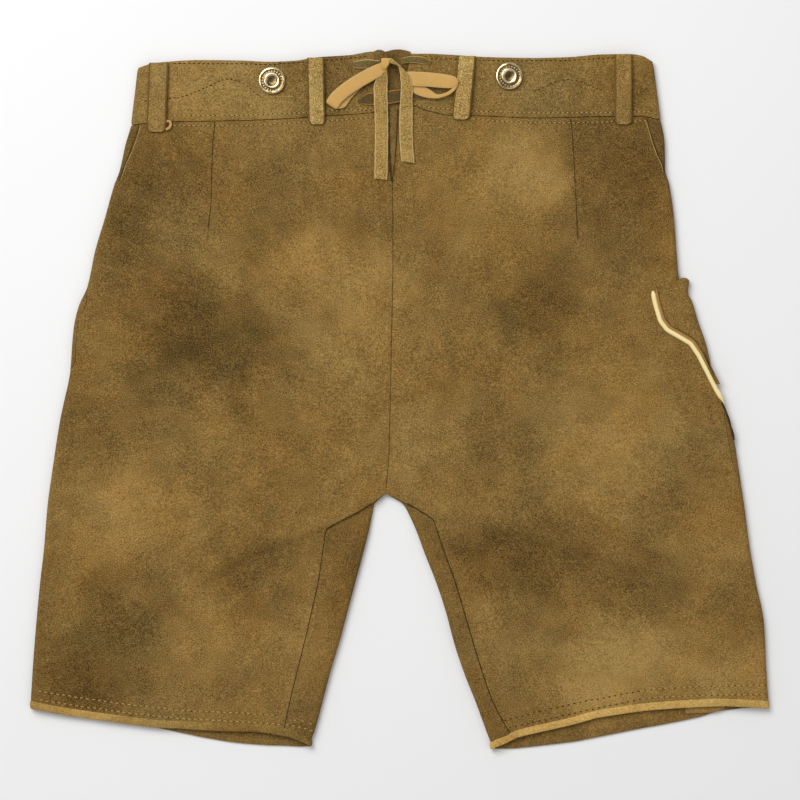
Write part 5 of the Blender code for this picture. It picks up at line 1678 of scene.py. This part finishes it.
class LEDERHOSEN_OT_stitching(bpy.types.Operator):
    """Make the seam lines, the stitch rows and the bar tacks"""

    bl_idname = "lederhosen.stitching"
    bl_label = "Stitching"

    def execute(self, context):
        chance = random.Random(7)
        soft, dark, pale, lines, edges = (Threads() for _ in range(5))
        for table, pale_rows, ground in ((BAND_ROWS, PALE_BAND_ROWS, band_top),
                                         (PANEL_ROWS, PALE_PANEL_ROWS, top_at)):
            for k, (path, pitch, length, thick) in enumerate(table):
                if k in pale_rows:
                    pale.dotted(dark, path, pitch, length, thick, ground, chance)
                else:
                    dark.row(path, pitch, length, thick, ground, chance)
        for left, right, y in BAR_TACKS:
            pale.row(((left, y), (right, y)), 2.4, 2.0, 0.8, band_top, chance)
        for path in DARTS:
            lines.line(path, 1.7, top_at)
        # The inseams get lines of painted shadow along their edges.
        for side, wide in ((LEFT, 1.3), (RIGHT, 1.8)):
            rows = np.linspace(CROTCH_ROW + 1.5, len(ROWS) - 1.05, 60)
            seam = [(fine_inner_end(side, row), row) for row in rows]
            seam = [(x + side * 0.3, float(fine_row_y(side, row, x, "back"))) for x, row in seam]
            lines.line(seam, wide, inseam_top)
        lines.line(POCKET_SLIT, 2.0, top_at)
        for side, path in zip((LEFT, RIGHT), POCKET_OPENINGS):
            lines.line(path, 1.1, top_at)
            edges.line([(x - side * 1.1, y) for x, y in path], 0.8, top_at)
        for path in POCKET_STITCHES:
            pale.row(path, 3.0, 2.6, 0.7, pocket_top, chance)
        for path, wide in GUSSET_SLITS:
            lines.line(path, wide, band_top)
        middle = [(float(smooth(CENTRE["y"], CENTRE[LEFT], y) + smooth(CENTRE["y"], CENTRE[RIGHT], y))
                   / 2, y) for y in np.linspace(174, -70, 90)]
        soft.line(middle, 1.3, top_at)
        for threads, name, look in ((soft, "centre_seam", "seam_soft"),
                                    (dark, "stitches_dark_and_hole_shade", "thread_dark"),
                                    (pale, "stitches_pale", "thread_pale"),
                                    (lines, "seam_lines", "seam_shadow"),
                                    (edges, "pocket_edges", "edge_pale")):
            threads.piece(name, finish_for(look), "suede")
        return {"FINISHED"}


class LEDERHOSEN_OT_declare_cloth(bpy.types.Operator):
    """Leaves the pieces as they are; it states no cut"""

    bl_idname = "lederhosen.declare_cloth"
    bl_label = "State the cuts"

    def execute(self, context):
        return {"FINISHED"}


OPERATORS = (
    LEDERHOSEN_OT_stage, LEDERHOSEN_OT_lacing, LEDERHOSEN_OT_panels, LEDERHOSEN_OT_waistband,
    LEDERHOSEN_OT_belt_loops, LEDERHOSEN_OT_hems, LEDERHOSEN_OT_knife_pocket,
    LEDERHOSEN_OT_front_flap, LEDERHOSEN_OT_brace_buttons, LEDERHOSEN_OT_stitching,
    LEDERHOSEN_OT_declare_cloth,
)


class LEDERHOSEN_PT_pieces(bpy.types.Panel):
    """Lists the look's settings and the operators"""

    bl_label = "Lederhosen"
    bl_idname = "LEDERHOSEN_PT_pieces"
    bl_space_type = "VIEW_3D"
    bl_region_type = "UI"
    bl_category = "Lederhosen"

    def draw(self, context):
        look = context.scene.lederhosen_look
        for name in LederhosenLook.__annotations__:
            self.layout.prop(look, name)
        for operator in OPERATORS:
            self.layout.operator(operator.bl_idname)


CLASSES = (LederhosenLook, *OPERATORS, LEDERHOSEN_PT_pieces)


def register():
    for item in CLASSES:
        bpy.utils.register_class(item)
    bpy.types.Scene.lederhosen_look = bpy.props.PointerProperty(type=LederhosenLook)


def unregister():
    del bpy.types.Scene.lederhosen_look
    for item in reversed(CLASSES):
        bpy.utils.unregister_class(item)


def main():
    register()
    for operator in OPERATORS:
        group, name = operator.bl_idname.split(".")
        getattr(getattr(bpy.ops, group), name)()


if __name__ == "__main__":
    main()
